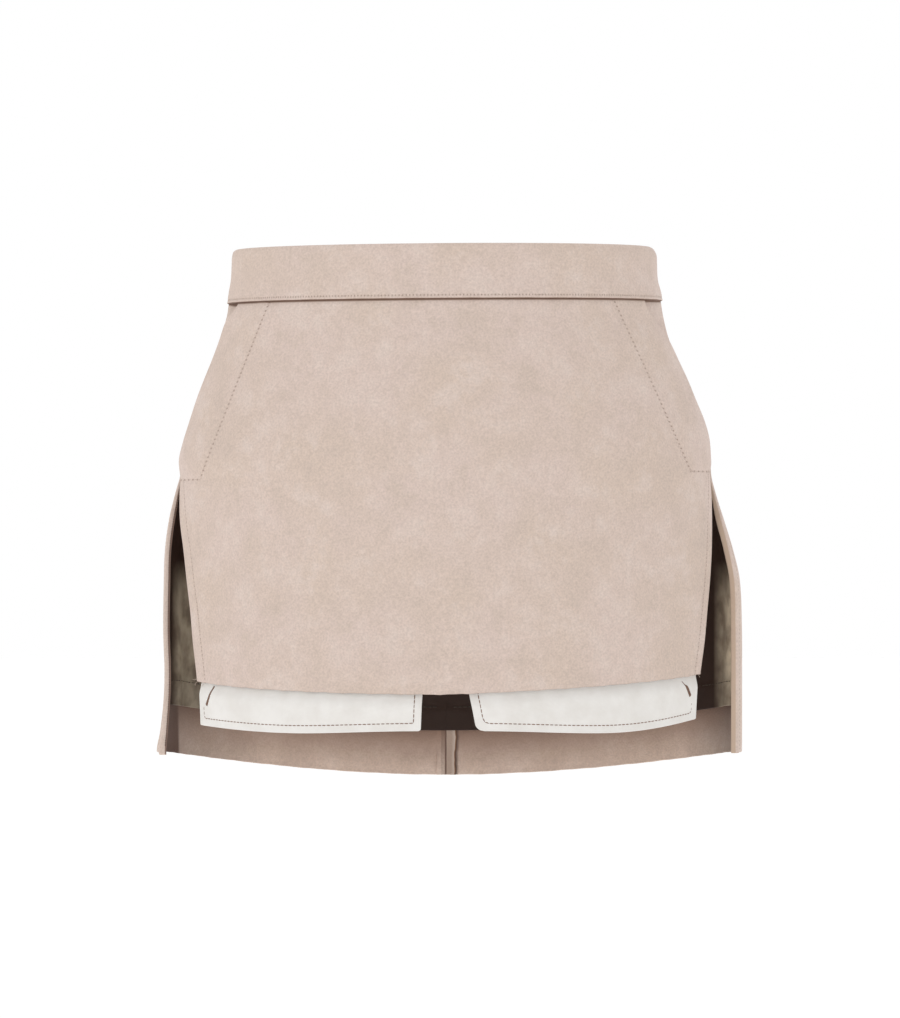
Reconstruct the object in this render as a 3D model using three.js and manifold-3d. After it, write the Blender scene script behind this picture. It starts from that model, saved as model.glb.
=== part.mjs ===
// A suede mini skirt in its worn form: a dipped waistband, a short front panel with slanted pockets, a longer back in
// two halves, open side slits, a lined back, cotton pocket bags that hang below the front hem, and a concealed zip.
// Millimetres, +Z up. The front faces -Y, and the wearer's left is +X. The origin is the middle of the waistband,
// half-way up it, where the wearer's waist holds the skirt.

import * as THREE from "three";
import { mergeVertices } from "three/addons/utils/BufferGeometryUtils.js";
import Module from "manifold-3d";

const wasm = await Module();
wasm.setup();

// Cloth thicknesses and the gap kept at every seam
const SUEDE = 1.4;
const TURNED = 1.3; // a turned edge or seam allowance adds this on the inside
const SATIN = 1.0;
const COTTON = 1.0;
const SEAM_GAP = 0.3;

// Waistband
const BAND_HEIGHT = 35.5;
const BAND_PROUD = 1.2; // its outer ply stands this far off the panels
const BAND_INSIDE = SUEDE + TURNED; // depth of its inner face under the panels' surface
const BAND_TOP = { middle: 20.3, frontDip: 1.8, sideRise: 0.6, leftRise: 1 };
const BAND_ENDS_GAP = 1.6; // at centre back, where the slider's web passes

// Heights that the panels run to
const SLIT_TOP = -127.6;
const FRONT_HEM = { left: -257.3, centre: -266.8, right: -262 };
const BACK_HEM = { side: -309.5, centre: -333 };
const LINING_HEM_RISE = 30.5; // the lining ends this far above the back hem
const BAG_BOTTOM = { inner: -290, middle: -292.5, outerLeft: -285.5, outerRight: -290 };

// Turned edges, measured along the cloth
const FRONT_TURN = 8; // at the mouths and the slits
const BACK_SLIT_TURN = 12;
const CENTRE_BACK_TURN = 9;
const STEP_WIDTH = 0.8; // the slope at the inner end of a turned edge

// Slanted pockets
const MOUTH_TOP_ANGLE = { left: 66.5, right: 72 }; // where the mouth meets the waistband, in degrees round it
const MOUTH_UNDERLAP = 30; // the facing runs this far in from the mouth
const BAG_INNER = { left: { top: 13, hem: 15, bottom: 20 }, right: { top: 14, hem: 15, bottom: 16 } };
const BAG_SHORT_OF_MOUTH = 6; // the bag's front ply ends this far in from the mouth's edge

// Depths of the inner layers under the panels' outer surface
const LAYER_GAP = 0.55; // a little over the seam gap, for the facets
const BAG_FRONT_DEPTH = SUEDE + TURNED + LAYER_GAP;
const FACING_DEPTH = BAG_FRONT_DEPTH + COTTON + LAYER_GAP;
const BAG_BEHIND_FACING = FACING_DEPTH + SUEDE + LAYER_GAP;
const LINING_DEPTH = SUEDE + TURNED + LAYER_GAP;
const ZIP_DEPTH = LINING_DEPTH;

// Concealed zip
const ZIP = { halfWidth: 12, thick: 1, top: 8, bottom: -160, linedOver: 21, linedOut: 31 };
const SLIDER = { z: 14, axisProud: 1, ringOuter: 1.75, ringInner: 0.95, webWide: 1, bodyWide: 6, bodyTall: 9, bodyThick: 2 };
const PULL = { long: 24, thick: 1, eyeBar: 1, eyeHalf: 1.2, eyeDeep: 3.1, topHalf: 2.2, neckHalf: 1.5, tipHalf: 2.8 };

// Front surface: x of the panel's side edge on each side, y of that edge, y at centre front, and how far round the
// section's ellipse the edge lies. Above the slit that edge is the pocket mouth.
const FRONT_SECTIONS = [
  { z: -12, left: 129.3, right: 134.5, edgeY: -36, frontY: -95.4, wrap: 66 },
  { z: -29, left: 140.9, right: 144.2, edgeY: -24, frontY: -98, wrap: 73 },
  { z: -40, left: 145.9, right: 148.2, edgeY: -19, frontY: -100, wrap: 76 },
  { z: -53, left: 152.4, right: 153.2, edgeY: -16, frontY: -102.3, wrap: 78 },
  { z: -66, left: 158.6, right: 158.6, edgeY: -14, frontY: -104.4, wrap: 79 },
  { z: -79, left: 164, right: 163.6, edgeY: -12.5, frontY: -106.2, wrap: 79 },
  { z: -92, left: 169.5, right: 167.9, edgeY: -10.5, frontY: -107.6, wrap: 80 },
  { z: -105, left: 173.2, right: 172.1, edgeY: -8.5, frontY: -108.6, wrap: 81 },
  { z: -118, left: 174.3, right: 175.3, edgeY: -5, frontY: -109.3, wrap: 83 },
  { z: -128, left: 174, right: 174.4, edgeY: -2, frontY: -109.7, wrap: 84 },
  { z: -140, left: 174.4, right: 174.8, edgeY: -7, frontY: -110, wrap: 78 },
  { z: -157, left: 174.4, right: 174.3, edgeY: -13, frontY: -110.3, wrap: 72 },
  { z: -177, left: 173.9, right: 171.7, edgeY: -17, frontY: -110.6, wrap: 69 },
  { z: -197, left: 172.6, right: 169.4, edgeY: -20, frontY: -110.8, wrap: 68 },
  { z: -217, left: 170.7, right: 166.9, edgeY: -23, frontY: -110.9, wrap: 67 },
  { z: -236, left: 168.8, right: 165.1, edgeY: -26, frontY: -111, wrap: 66 },
  { z: -262, left: 165.4, right: 162.2, edgeY: -28, frontY: -111, wrap: 66 },
  { z: -300, left: 163.2, right: 160.4, edgeY: -30, frontY: -110, wrap: 66 },
];

// Back surface: half-width on each side, y of the widest place, depth of the part in front of it, y at centre back,
// and where each side's edge lies, in degrees round the ellipse from 0 at centre front to 180 at centre back
const BACK_SECTIONS = [
  { z: 24, left: 137.4, right: 139.4, midY: 2, frontDepth: 96, backY: 95.5, leftEdge: 87, rightEdge: 87 },
  { z: 10, left: 137.6, right: 139.6, midY: 2, frontDepth: 96.6, backY: 96.2, leftEdge: 87, rightEdge: 87 },
  { z: 0, left: 138.2, right: 140.2, midY: 2.5, frontDepth: 97.2, backY: 97, leftEdge: 87, rightEdge: 87 },
  { z: -8, left: 140.3, right: 141.6, midY: 2.8, frontDepth: 98, backY: 98, leftEdge: 87, rightEdge: 87 },
  { z: -16, left: 141.6, right: 142.8, midY: 3, frontDepth: 99, backY: 99.5, leftEdge: 87, rightEdge: 87 },
  { z: -23, left: 142.7, right: 143.9, midY: 3, frontDepth: 101, backY: 102, leftEdge: 87, rightEdge: 87 },
  { z: -38, left: 146.5, right: 148.2, midY: 3.5, frontDepth: 103, backY: 106.5, leftEdge: 87, rightEdge: 87 },
  { z: -52, left: 152.8, right: 153.4, midY: 4, frontDepth: 104.5, backY: 111, leftEdge: 87, rightEdge: 87 },
  { z: -65, left: 159.1, right: 158.5, midY: 5, frontDepth: 105.5, backY: 115, leftEdge: 87, rightEdge: 87 },
  { z: -78, left: 164.4, right: 163.5, midY: 6, frontDepth: 106.5, backY: 118.5, leftEdge: 87, rightEdge: 87 },
  { z: -91, left: 169.6, right: 167.5, midY: 6.5, frontDepth: 107.5, backY: 121.5, leftEdge: 87, rightEdge: 87 },
  { z: -105, left: 173.2, right: 171.3, midY: 7, frontDepth: 108.5, backY: 124, leftEdge: 87, rightEdge: 87 },
  { z: -118, left: 174.3, right: 174.5, midY: 7.5, frontDepth: 109, backY: 126, leftEdge: 87, rightEdge: 87 },
  { z: -128, left: 174.8, right: 175, midY: 8, frontDepth: 109, backY: 127.3, leftEdge: 87, rightEdge: 87 },
  { z: -138, left: 177.2, right: 177.8, midY: 8, frontDepth: 109, backY: 128.4, leftEdge: 86.5, rightEdge: 86.5 },
  { z: -157, left: 183.1, right: 182.4, midY: 8, frontDepth: 109, backY: 129.6, leftEdge: 82.5, rightEdge: 85 },
  { z: -177, left: 189.2, right: 185.1, midY: 8, frontDepth: 109, backY: 130.2, leftEdge: 80, rightEdge: 84 },
  { z: -197, left: 193.6, right: 185.8, midY: 8, frontDepth: 109, backY: 130.2, leftEdge: 78.5, rightEdge: 83.5 },
  { z: -230, left: 195, right: 186.2, midY: 8, frontDepth: 109, backY: 129.4, leftEdge: 77.6, rightEdge: 83.5 },
  { z: -256, left: 195.1, right: 185.4, midY: 8, frontDepth: 109, backY: 128.6, leftEdge: 77.6, rightEdge: 83.5 },
  { z: -276, left: 195.1, right: 186, midY: 8, frontDepth: 109, backY: 128, leftEdge: 77.6, rightEdge: 83 },
  { z: -296, left: 195.1, right: 188.2, midY: 8, frontDepth: 109, backY: 127.2, leftEdge: 77.6, rightEdge: 81 },
  { z: -308, left: 195, right: 190.4, midY: 8, frontDepth: 109, backY: 126.8, leftEdge: 77.6, rightEdge: 79 },
  { z: -340, left: 194.9, right: 191, midY: 8, frontDepth: 109, backY: 126, leftEdge: 77.6, rightEdge: 78.5 },
];

// Heights of the rows that every layer shares, so that no layer's facets cut the next one's
const SHARED_HEIGHTS = [-16, -21, -27, -35, -45, -57, -70, -84, -98, -110, -121, -131, -141, -152];
const FACING_ROWS = 11;

// The soft folds: place of the middle, half-length, half-width, lean from upright in degrees, and height, where a
// trough is below 0
const FRONT_FOLDS = [
  { x: -128, z: -205, long: 52, wide: 11, lean: 6, high: 1.6 },
  { x: -108, z: -222, long: 44, wide: 10, lean: 4, high: -1.3 },
  { x: 148, z: -106, long: 30, wide: 12, lean: 48, high: -1.3 },
  { x: 134, z: -146, long: 34, wide: 11, lean: 40, high: 1.2 },
  { x: 58, z: -96, long: 62, wide: 16, lean: 34, high: -0.9 },
  { x: -52, z: -118, long: 70, wide: 18, lean: -22, high: 0.9 },
  { x: 20, z: -214, long: 48, wide: 20, lean: -8, high: 0.8 },
];
const BACK_FOLDS = [
  { x: -118, z: -196, long: 58, wide: 14, lean: -10, high: 1.5 },
  { x: -82, z: -246, long: 52, wide: 13, lean: 5, high: -1.3 },
  { x: 96, z: -168, long: 48, wide: 14, lean: 24, high: -1.2 },
  { x: 132, z: -238, long: 60, wide: 13, lean: 4, high: 1.5 },
  { x: 44, z: -222, long: 66, wide: 16, lean: -12, high: 1.1 },
];

// The value of one column of a table at a height, on a smooth curve through its rows
function alongTable(rows, z, column) {
  const last = rows.length - 1;
  let i = rows.findIndex((row) => row.z <= z);
  if (i === -1) i = last;
  i = Math.max(1, i);
  const value = (k) => rows[THREE.MathUtils.clamp(k, 0, last)][column];
  const height = (k) => rows[THREE.MathUtils.clamp(k, 0, last)].z;
  const slope = (k) => (value(k + 1) - value(k - 1)) / (height(k + 1) - height(k - 1) || 1);
  const span = height(i) - height(i - 1);
  const t = THREE.MathUtils.clamp((z - height(i - 1)) / span, 0, 1);
  const rise = (value(i) - value(i - 1)) * t * t * (3 - 2 * t);
  const ease = slope(i - 1) * span * t * (1 - t) ** 2 - slope(i) * span * t * t * (1 - t);
  return value(i - 1) + rise + ease;
}

// How far the folds push the cloth out at a place
function foldHeight(folds, x, z) {
  return folds.reduce((sum, fold) => {
    const lean = THREE.MathUtils.degToRad(fold.lean);
    const across = (x - fold.x) * Math.cos(lean) + (z - fold.z) * Math.sin(lean);
    const along = (z - fold.z) * Math.cos(lean) - (x - fold.x) * Math.sin(lean);
    return sum + fold.high * Math.exp(-((across / fold.wide) ** 2) - (along / fold.long) ** 2);
  }, 0);
}

// A point moved level and away from the body's axis
function pushedOut(x, y, z, distance) {
  const outward = new THREE.Vector2(x, y * 1.6).normalize().multiplyScalar(distance);
  return new THREE.Vector3(x + outward.x, y + outward.y, z);
}

const wordFor = (side) => (side < 0 ? "right" : "left");

// The front panel's outer surface. u is 0 at centre front, 1 at the wearer's left edge and -1 at the right edge. At
// the waist it runs into the surface that the waistband follows
function frontPoint(u, z) {
  const side = u < 0 ? -1 : 1;
  const row = (column) => alongTable(FRONT_SECTIONS, z, column);
  const wrap = THREE.MathUtils.degToRad(row("wrap"));
  const angle = Math.abs(u) * wrap;
  const x = (side * row(wordFor(side)) * Math.sin(angle)) / Math.sin(wrap);
  const frontY = row("frontY");
  const y = frontY + ((row("edgeY") - frontY) * (1 - Math.cos(angle))) / (1 - Math.cos(wrap));
  const panel = pushedOut(x, y, z, foldHeight(FRONT_FOLDS, x, z));
  const waist = backPoint(side, frontDegrees(u), z);
  return panel.lerp(waist, smooth(z, -27, -15));
}

// The back's outer surface, in degrees from centre front, for one side: 1 is the wearer's left and -1 the right
function backPoint(side, degrees, z) {
  const row = (column) => alongTable(BACK_SECTIONS, z, column);
  const angle = THREE.MathUtils.degToRad(degrees);
  const depth = degrees < 90 ? row("frontDepth") : row("backY") - row("midY");
  const x = side * row(wordFor(side)) * Math.sin(angle);
  const y = row("midY") - depth * Math.cos(angle);
  return pushedOut(x, y, z, foldHeight(BACK_FOLDS, x, z) * (degrees > 90 ? 1 : 0));
}

// A point at a depth under a surface, found with the surface's normal there
function atDepth(surface, s, z, depth, ds) {
  const here = surface(s, z);
  const across = surface(s + ds, z).sub(surface(s - ds, z));
  const down = surface(s, z - 0.5).sub(surface(s, z + 0.5));
  const normal = across.cross(down).normalize();
  if (normal.x * here.x + normal.y * here.y < 0) normal.negate();
  return here.addScaledVector(normal, -depth);
}

const frontAtDepth = (u, z, depth) => atDepth(frontPoint, u, z, depth, 0.002);
const backAtDepth = (side, degrees, z, depth) =>
  atDepth((s, height) => backPoint(side, s, height), degrees, z, depth, 0.1);

// The share of the front surface that lies at a half-width, or at a length of cloth in from the edge
function frontShareAtWidth(side, halfWidth, z) {
  const wrap = THREE.MathUtils.degToRad(alongTable(FRONT_SECTIONS, z, "wrap"));
  const edge = alongTable(FRONT_SECTIONS, z, wordFor(side));
  return Math.asin(Math.min(1, (halfWidth / edge) * Math.sin(wrap))) / wrap;
}

function frontShareInFromEdge(side, z, length) {
  const step = 0.01;
  const edge = frontPoint(side, z);
  const inward = frontPoint(side * (1 - step), z);
  return 1 - (length * step) / edge.distanceTo(inward);
}

const backEdge = (side, z) => alongTable(BACK_SECTIONS, z, `${wordFor(side)}Edge`);

// Degrees on the back surface that a length of cloth takes at a place
function backDegrees(side, degrees, z, length) {
  return length / backPoint(side, degrees, z).distanceTo(backPoint(side, degrees + 1, z));
}

function bandTop(side, degrees) {
  const angle = THREE.MathUtils.degToRad(degrees);
  const across = Math.sin(angle);
  return BAND_TOP.middle - BAND_TOP.frontDip * Math.cos(angle) + BAND_TOP.sideRise * across ** 2 +
    BAND_TOP.leftRise * side * across;
}
const waistSeam = (side, degrees) => bandTop(side, degrees) - BAND_HEIGHT;
const frontDegrees = (u) => Math.abs(u) * MOUTH_TOP_ANGLE[wordFor(u)]; // round the waist, for a share of the front

const smooth = THREE.MathUtils.smoothstep;
const mix = THREE.MathUtils.lerp;

// The hem rises almost straight to the left, and in a curve to the right
function frontHem(u) {
  return mix(FRONT_HEM.centre, FRONT_HEM[wordFor(u)], Math.abs(u) ** (u < 0 ? 2 : 1.1));
}

function backHem(degrees) {
  return mix(BACK_HEM.side, BACK_HEM.centre, smooth(degrees, 85, 180));
}

// The height of row j out of a wall's rows: the shared heights first, which give way to the wall's own top, and then
// even rows to its hem
function rowHeight(j, rows, top, hem) {
  const last = SHARED_HEIGHTS.length - 1;
  if (j >= last) return mix(SHARED_HEIGHTS[last], hem, (j - last) / (rows - last));
  return SHARED_HEIGHTS[j] + (top - SHARED_HEIGHTS[0]) * Math.max(0, 1 - j / 4);
}

// A closed wall of cloth from a grid of places, each with a point on its outer face and one on its inner face
function clothWall(name, material, columns, rows, place) {
  const positions = [];
  const indices = [];
  const layer = (columns + 1) * (rows + 1);
  const at = (face, i, j) => face * layer + j * (columns + 1) + i;
  for (const face of ["outer", "inner"])
    for (let j = 0; j <= rows; j++)
      for (let i = 0; i <= columns; i++) positions.push(...place(i / columns, j / rows, i, j)[face].toArray());
  const quad = (a, b, c, d) => indices.push(a, b, c, a, c, d);
  for (let j = 0; j < rows; j++)
    for (let i = 0; i < columns; i++) {
      quad(at(0, i, j), at(0, i, j + 1), at(0, i + 1, j + 1), at(0, i + 1, j));
      quad(at(1, i, j), at(1, i + 1, j), at(1, i + 1, j + 1), at(1, i, j + 1));
    }
  for (let i = 0; i < columns; i++) {
    quad(at(0, i, 0), at(0, i + 1, 0), at(1, i + 1, 0), at(1, i, 0));
    quad(at(0, i + 1, rows), at(0, i, rows), at(1, i, rows), at(1, i + 1, rows));
  }
  for (let j = 0; j < rows; j++) {
    quad(at(0, 0, j + 1), at(0, 0, j), at(1, 0, j), at(1, 0, j + 1));
    quad(at(0, columns, j), at(0, columns, j + 1), at(1, columns, j + 1), at(1, columns, j));
  }
  return named(name, facingOut(positions, indices), material);
}

// The geometry of a closed surface, turned so that its faces point out
function facingOut(positions, indices) {
  const corner = (k) => new THREE.Vector3().fromArray(positions, 3 * indices[k]);
  let sixVolumes = 0;
  for (let k = 0; k < indices.length; k += 3) sixVolumes += corner(k).dot(corner(k + 1).cross(corner(k + 2)));
  if (sixVolumes < 0) indices.reverse();
  const geometry = new THREE.BufferGeometry();
  geometry.setAttribute("position", new THREE.Float32BufferAttribute(positions, 3));
  geometry.setIndex(indices);
  geometry.computeVertexNormals();
  return geometry;
}

function named(name, geometry, material) {
  const mesh = new THREE.Mesh(geometry, material);
  mesh.name = name;
  return mesh;
}

// Waistband: one folded band from one side of the zip round the front to the other
function waistband() {
  const rows = 3;
  const columns = 72;
  const place = (s, t) => {
    const signed = mix(-180, 180, s);
    const side = signed < 0 ? -1 : 1;
    const degrees = Math.abs(signed);
    const z = bandTop(side, degrees) - t * (BAND_HEIGHT - SEAM_GAP);
    const face = (depth) => {
      const point = backAtDepth(side, degrees, z, depth);
      const endGap = BAND_ENDS_GAP / 2;
      if (degrees > 90 && Math.abs(point.x) < endGap) point.x = side * endGap;
      return point;
    };
    return { outer: face(-BAND_PROUD), inner: face(BAND_INSIDE) };
  };
  return clothWall("waistband", suedeMaterial, columns, rows, place);
}

// Front panel, with its edges turned in at the pocket mouths and the slits
function frontPanel() {
  const plain = 12; // columns from centre front to the turned edge
  const turned = 2;
  const half = plain + 1 + turned;
  const rows = 21;
  const place = (s, t, i, j) => {
    const k = Math.abs(i - half);
    const side = i < half ? -1 : 1;
    const share = (z) => {
      if (k <= plain) return (frontShareInFromEdge(side, z, FRONT_TURN + STEP_WIDTH) * k) / plain;
      return frontShareInFromEdge(side, z, (FRONT_TURN * (half - k)) / turned);
    };
    const top = waistSeam(side, frontDegrees(side * share(waistSeam(side, 45))));
    const z = rowHeight(j, rows, top, frontHem(share(FRONT_HEM.centre) * side));
    const u = side * share(z);
    return { outer: frontPoint(u, z), inner: frontAtDepth(u, z, k > plain ? SUEDE + TURNED : SUEDE) };
  };
  return clothWall("front_panel", suedeMaterial, 2 * half, rows, place);
}

// The place, in degrees, of a length of cloth in from a back panel's side edge
function inFromBackEdge(side, z, length) {
  const edge = backEdge(side, z);
  return edge + backDegrees(side, edge, z, length);
}

// The columns between the turned edges that a back panel and its lining share: the place, in degrees, of column k
const BACK_MIDDLE_COLUMNS = 16;
function backMiddle(side, z, k) {
  const first = inFromBackEdge(side, z, BACK_SLIT_TURN + STEP_WIDTH);
  const last = 180 - backDegrees(side, 178, z, CENTRE_BACK_TURN + STEP_WIDTH);
  return mix(first, last, k / BACK_MIDDLE_COLUMNS);
}
const atCentreBack = (side, z) => 180 - backDegrees(side, 178, z, SEAM_GAP / 2);

// Half of the back, from the side seam to centre back, thicker where its edges are turned in
function backPanel(side, name) {
  const columns = BACK_MIDDLE_COLUMNS + 5;
  const rows = 23;
  const place = (s, t, i, j) => {
    const along = (z) => {
      if (i <= 2) return inFromBackEdge(side, z, (BACK_SLIT_TURN * i) / 2);
      if (i === columns) return atCentreBack(side, z);
      if (i === columns - 1) return 180 - backDegrees(side, 178, z, CENTRE_BACK_TURN);
      return backMiddle(side, z, i - 3);
    };
    const thick = i <= 2 || i >= columns - 1 ? SUEDE + TURNED : SUEDE;
    const top = waistSeam(side, along(waistSeam(side, 135)));
    const z = rowHeight(j, rows, top, backHem(along(BACK_HEM.centre)));
    const degrees = along(z);
    return { outer: backPoint(side, degrees, z), inner: backAtDepth(side, degrees, z, thick) };
  };
  return clothWall(name, suedeMaterial, columns, rows, place);
}

// The facing behind a pocket mouth: under the front panel first, then rising to the side seam
function pocketFacing(side, name) {
  const under = 4; // columns under the front panel
  const rise = 4;
  const place = (s, t, i, j) => {
    const z = rowHeight(j, 2 * FACING_ROWS, waistSeam(side, mix(55, 87, s)), 0);
    const face = (depth) => {
      const inner = frontShareInFromEdge(side, z, MOUTH_UNDERLAP);
      if (i <= under) return frontAtDepth(side * mix(inner, 1, i / under), z, FACING_DEPTH + depth);
      const start = frontAtDepth(side, z, FACING_DEPTH + depth);
      const end = facingSideEdge(side, z, depth);
      const k = (i - under) / rise;
      const lead = frontAtDepth(side * 0.99, z, FACING_DEPTH + depth);
      const tangent = start.clone().sub(lead).setLength(start.distanceTo(end) * 0.45);
      const control = start.clone().add(tangent);
      return start
        .clone()
        .multiplyScalar((1 - k) ** 2)
        .addScaledVector(control, 2 * k * (1 - k))
        .addScaledVector(end, k * k);
    };
    return { outer: face(0), inner: face(SUEDE) };
  };
  return clothWall(name, suedeMaterial, under + rise, FACING_ROWS, place);
}

// The facing's edge lies flush with the back panel at the top, and dips behind the front panel at the mouth's foot
function facingSideEdge(side, z, depth) {
  const flush = backAtDepth(side, inFromBackEdge(side, z, -SEAM_GAP), z, depth);
  const tucked = frontAtDepth(side * 0.995, z, FACING_DEPTH + depth);
  return flush.lerp(tucked, smooth(-z, 92, 114));
}

// One ply of a pocket bag. The back ply passes behind the facing, and both run out to the slit below the mouth
function bagPly(side, name, isBack) {
  const inward = 7; // columns from the bag's inner edge to the facing's
  const outward = 4;
  const rows = 19;
  const inner = BAG_INNER[wordFor(side)];
  const place = (s, t, i, j) => {
    const across = i / (inward + outward);
    const outerEnd = side < 0 ? BAG_BOTTOM.outerRight : BAG_BOTTOM.outerLeft;
    const foot = across < 0.5
      ? mix(BAG_BOTTOM.inner, BAG_BOTTOM.middle, smooth(across, 0, 0.5))
      : mix(BAG_BOTTOM.middle, outerEnd, smooth(across, 0.5, 1.15));
    const z = rowHeight(j, rows, waistSeam(side, 60 * across), foot);
    const innerWidth = z > FRONT_HEM.centre
      ? mix(inner.hem, inner.top, smooth(z, FRONT_HEM.centre, 0))
      : mix(inner.hem, inner.bottom, (FRONT_HEM.centre - z) / (FRONT_HEM.centre - BAG_BOTTOM.middle));
    const middle = frontShareInFromEdge(side, z, MOUTH_UNDERLAP + 3);
    const short = isBack ? SEAM_GAP : mix(BAG_SHORT_OF_MOUTH, SEAM_GAP, smooth(-z, -SLIT_TOP - 20, -SLIT_TOP + 10));
    const outer = frontShareInFromEdge(side, z, short);
    const share = i <= inward
      ? mix(frontShareAtWidth(side, innerWidth, z), middle, i / inward)
      : mix(middle, outer, (i - inward) / outward);
    const behind = i >= inward && j <= FACING_ROWS ? BAG_BEHIND_FACING : FACING_DEPTH;
    const depth = isBack ? behind : BAG_FRONT_DEPTH;
    return { outer: frontAtDepth(side * share, z, depth), inner: frontAtDepth(side * share, z, depth + COTTON) };
  };
  return clothWall(name, cottonMaterial, inward + outward, rows, place);
}

// Half of the back lining. It passes over the zip tape near centre back
function lining(side, name) {
  const columns = BACK_MIDDLE_COLUMNS + 2;
  const rows = 20;
  const edgeIn = 4; // it stops short of the slit's turned edge
  const place = (s, t, i, j) => {
    const along = (z) => {
      if (i === 0) return inFromBackEdge(side, z, edgeIn);
      if (i === columns) return atCentreBack(side, z);
      return backMiddle(side, z, i - 1);
    };
    const foot = backHem(along(BACK_HEM.centre)) + LINING_HEM_RISE;
    const z = rowHeight(j, rows, waistSeam(side, along(waistSeam(side, 135))), foot);
    const degrees = along(z);
    const fromCentre = (180 - degrees) / backDegrees(side, 178, z, 1);
    const overTape = (1 - smooth(fromCentre, ZIP.linedOver, ZIP.linedOut)) * smooth(z, ZIP.bottom - 20, ZIP.bottom - 4);
    const depth = mix(LINING_DEPTH, ZIP_DEPTH + ZIP.thick + LAYER_GAP, overTape);
    return { outer: backAtDepth(side, degrees, z, depth), inner: backAtDepth(side, degrees, z, depth + SATIN) };
  };
  return clothWall(name, satinMaterial, columns, rows, place);
}

// The closed zip behind the centre back seam: both tapes and the coil as one strip, which runs up behind the band
function zipTape() {
  const columns = 6;
  const behindBand = [ZIP.top, -4];
  const rows = behindBand.length + SHARED_HEIGHTS.length;
  const place = (s, t, i, j) => {
    const below = j - behindBand.length;
    const z = behindBand[j] ?? rowHeight(below, rows - behindBand.length, waistSeam(1, 180), ZIP.bottom);
    const x = mix(-ZIP.halfWidth, ZIP.halfWidth, s);
    const side = x < 0 ? -1 : 1;
    const degrees = 180 - backDegrees(side, 178, z, Math.abs(x));
    return {
      outer: backAtDepth(side, degrees, z, ZIP_DEPTH),
      inner: backAtDepth(side, degrees, z, ZIP_DEPTH + ZIP.thick),
    };
  };
  return clothWall("zip_tape", zipTapeMaterial, columns, rows, place);
}

// A three.js geometry as a solid that can be joined and cut
function solid(geometry) {
  const bare = geometry.clone().deleteAttribute("normal").deleteAttribute("uv");
  const merged = mergeVertices(bare, 1e-4);
  return new wasm.Manifold(
    new wasm.Mesh({
      numProp: 3,
      vertProperties: merged.attributes.position.array,
      triVerts: new Uint32Array(merged.index.array),
    }),
  );
}

function geometryOf(manifold) {
  const { vertProperties, triVerts } = manifold.getMesh();
  const geometry = new THREE.BufferGeometry();
  geometry.setAttribute("position", new THREE.BufferAttribute(vertProperties, 3));
  geometry.setIndex(new THREE.BufferAttribute(triVerts, 1));
  geometry.computeVertexNormals();
  return geometry;
}

// A flat outline in the cloth's own upright plane (x across, y up) given a thickness across it, centred on y = 0
function uprightPlate(shape, thick) {
  const geometry = new THREE.ExtrudeGeometry(shape, { depth: thick, bevelEnabled: false, curveSegments: 8 });
  return geometry.translate(0, 0, -thick / 2).rotateX(Math.PI / 2);
}

// The slider: a body behind the band, a web through the gap between the band's ends, and a ring that holds the pull.
// Its own origin is the ring's centre, with +Y out of the cloth
function zipSlider() {
  const back = -(BAND_PROUD + BAND_INSIDE + SLIDER.axisProud);
  const wide = SLIDER.webWide;
  const ring = new THREE.Shape().absarc(0, 0, SLIDER.ringOuter, 0, 2 * Math.PI);
  ring.holes.push(new THREE.Path().absarc(0, 0, SLIDER.ringInner, 0, 2 * Math.PI, true));
  const ringGeometry = new THREE.ExtrudeGeometry(ring, { depth: wide, bevelEnabled: false, curveSegments: 16 })
    .translate(0, 0, -wide / 2)
    .rotateY(Math.PI / 2);
  const ringBack = -SLIDER.ringOuter * 0.75;
  const webTall = 4.5;
  const webDeep = ringBack - back + 1;
  const web = new THREE.BoxGeometry(wide, webDeep, webTall).translate(0, ringBack - webDeep / 2, -1.2);
  const bodyY = back - 2 * SEAM_GAP - SLIDER.bodyThick / 2;
  const body = new THREE.BoxGeometry(SLIDER.bodyWide, SLIDER.bodyThick, SLIDER.bodyTall).translate(0, bodyY, -0.5);
  const made = solid(ringGeometry).add(solid(web)).add(solid(body));
  return named("zip_slider", geometryOf(made), metalMaterial);
}

// The pull: a slim drop with an eye, hung on the ring. Its own origin is the eye bar's centre
function zipPull() {
  const top = PULL.eyeBar / 2;
  const tip = Array.from({ length: 13 }, (_, k) => {
    const angle = Math.PI * (1 + k / 12);
    return [PULL.tipHalf * Math.cos(angle), PULL.tipHalf * (1 + Math.sin(angle)) - PULL.long];
  });
  const shoulder = [
    [-PULL.topHalf, top],
    [-PULL.topHalf, -PULL.eyeDeep - 1],
    [-PULL.neckHalf, -PULL.eyeDeep - 4],
  ];
  const mirrored = shoulder.map(([x, z]) => [-x, z]).reverse();
  const outline = new THREE.Shape([...shoulder, ...tip, ...mirrored].map(([x, z]) => new THREE.Vector2(x, z)));
  const eye = new THREE.Path(
    [
      [-PULL.eyeHalf, -top],
      [-PULL.eyeHalf, -PULL.eyeDeep],
      [PULL.eyeHalf, -PULL.eyeDeep],
      [PULL.eyeHalf, -top],
    ].map(([x, z]) => new THREE.Vector2(x, z)),
  );
  outline.holes.push(eye);
  return named("zip_pull", uprightPlate(outline, PULL.thick), metalMaterial);
}

// Slider and pull, set on the band's outer face at centre back. The pull lies along the band as it flares
function zipHead() {
  const at = backAtDepth(1, 180, SLIDER.z, -BAND_PROUD);
  const tip = backAtDepth(1, 180, SLIDER.z - PULL.long, -BAND_PROUD);
  const head = new THREE.Group();
  head.position.set(0, at.y + SLIDER.axisProud, SLIDER.z);
  head.rotation.x = Math.atan2(tip.y - at.y, at.z - tip.z);
  head.add(zipSlider(), zipPull());
  return head;
}

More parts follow.
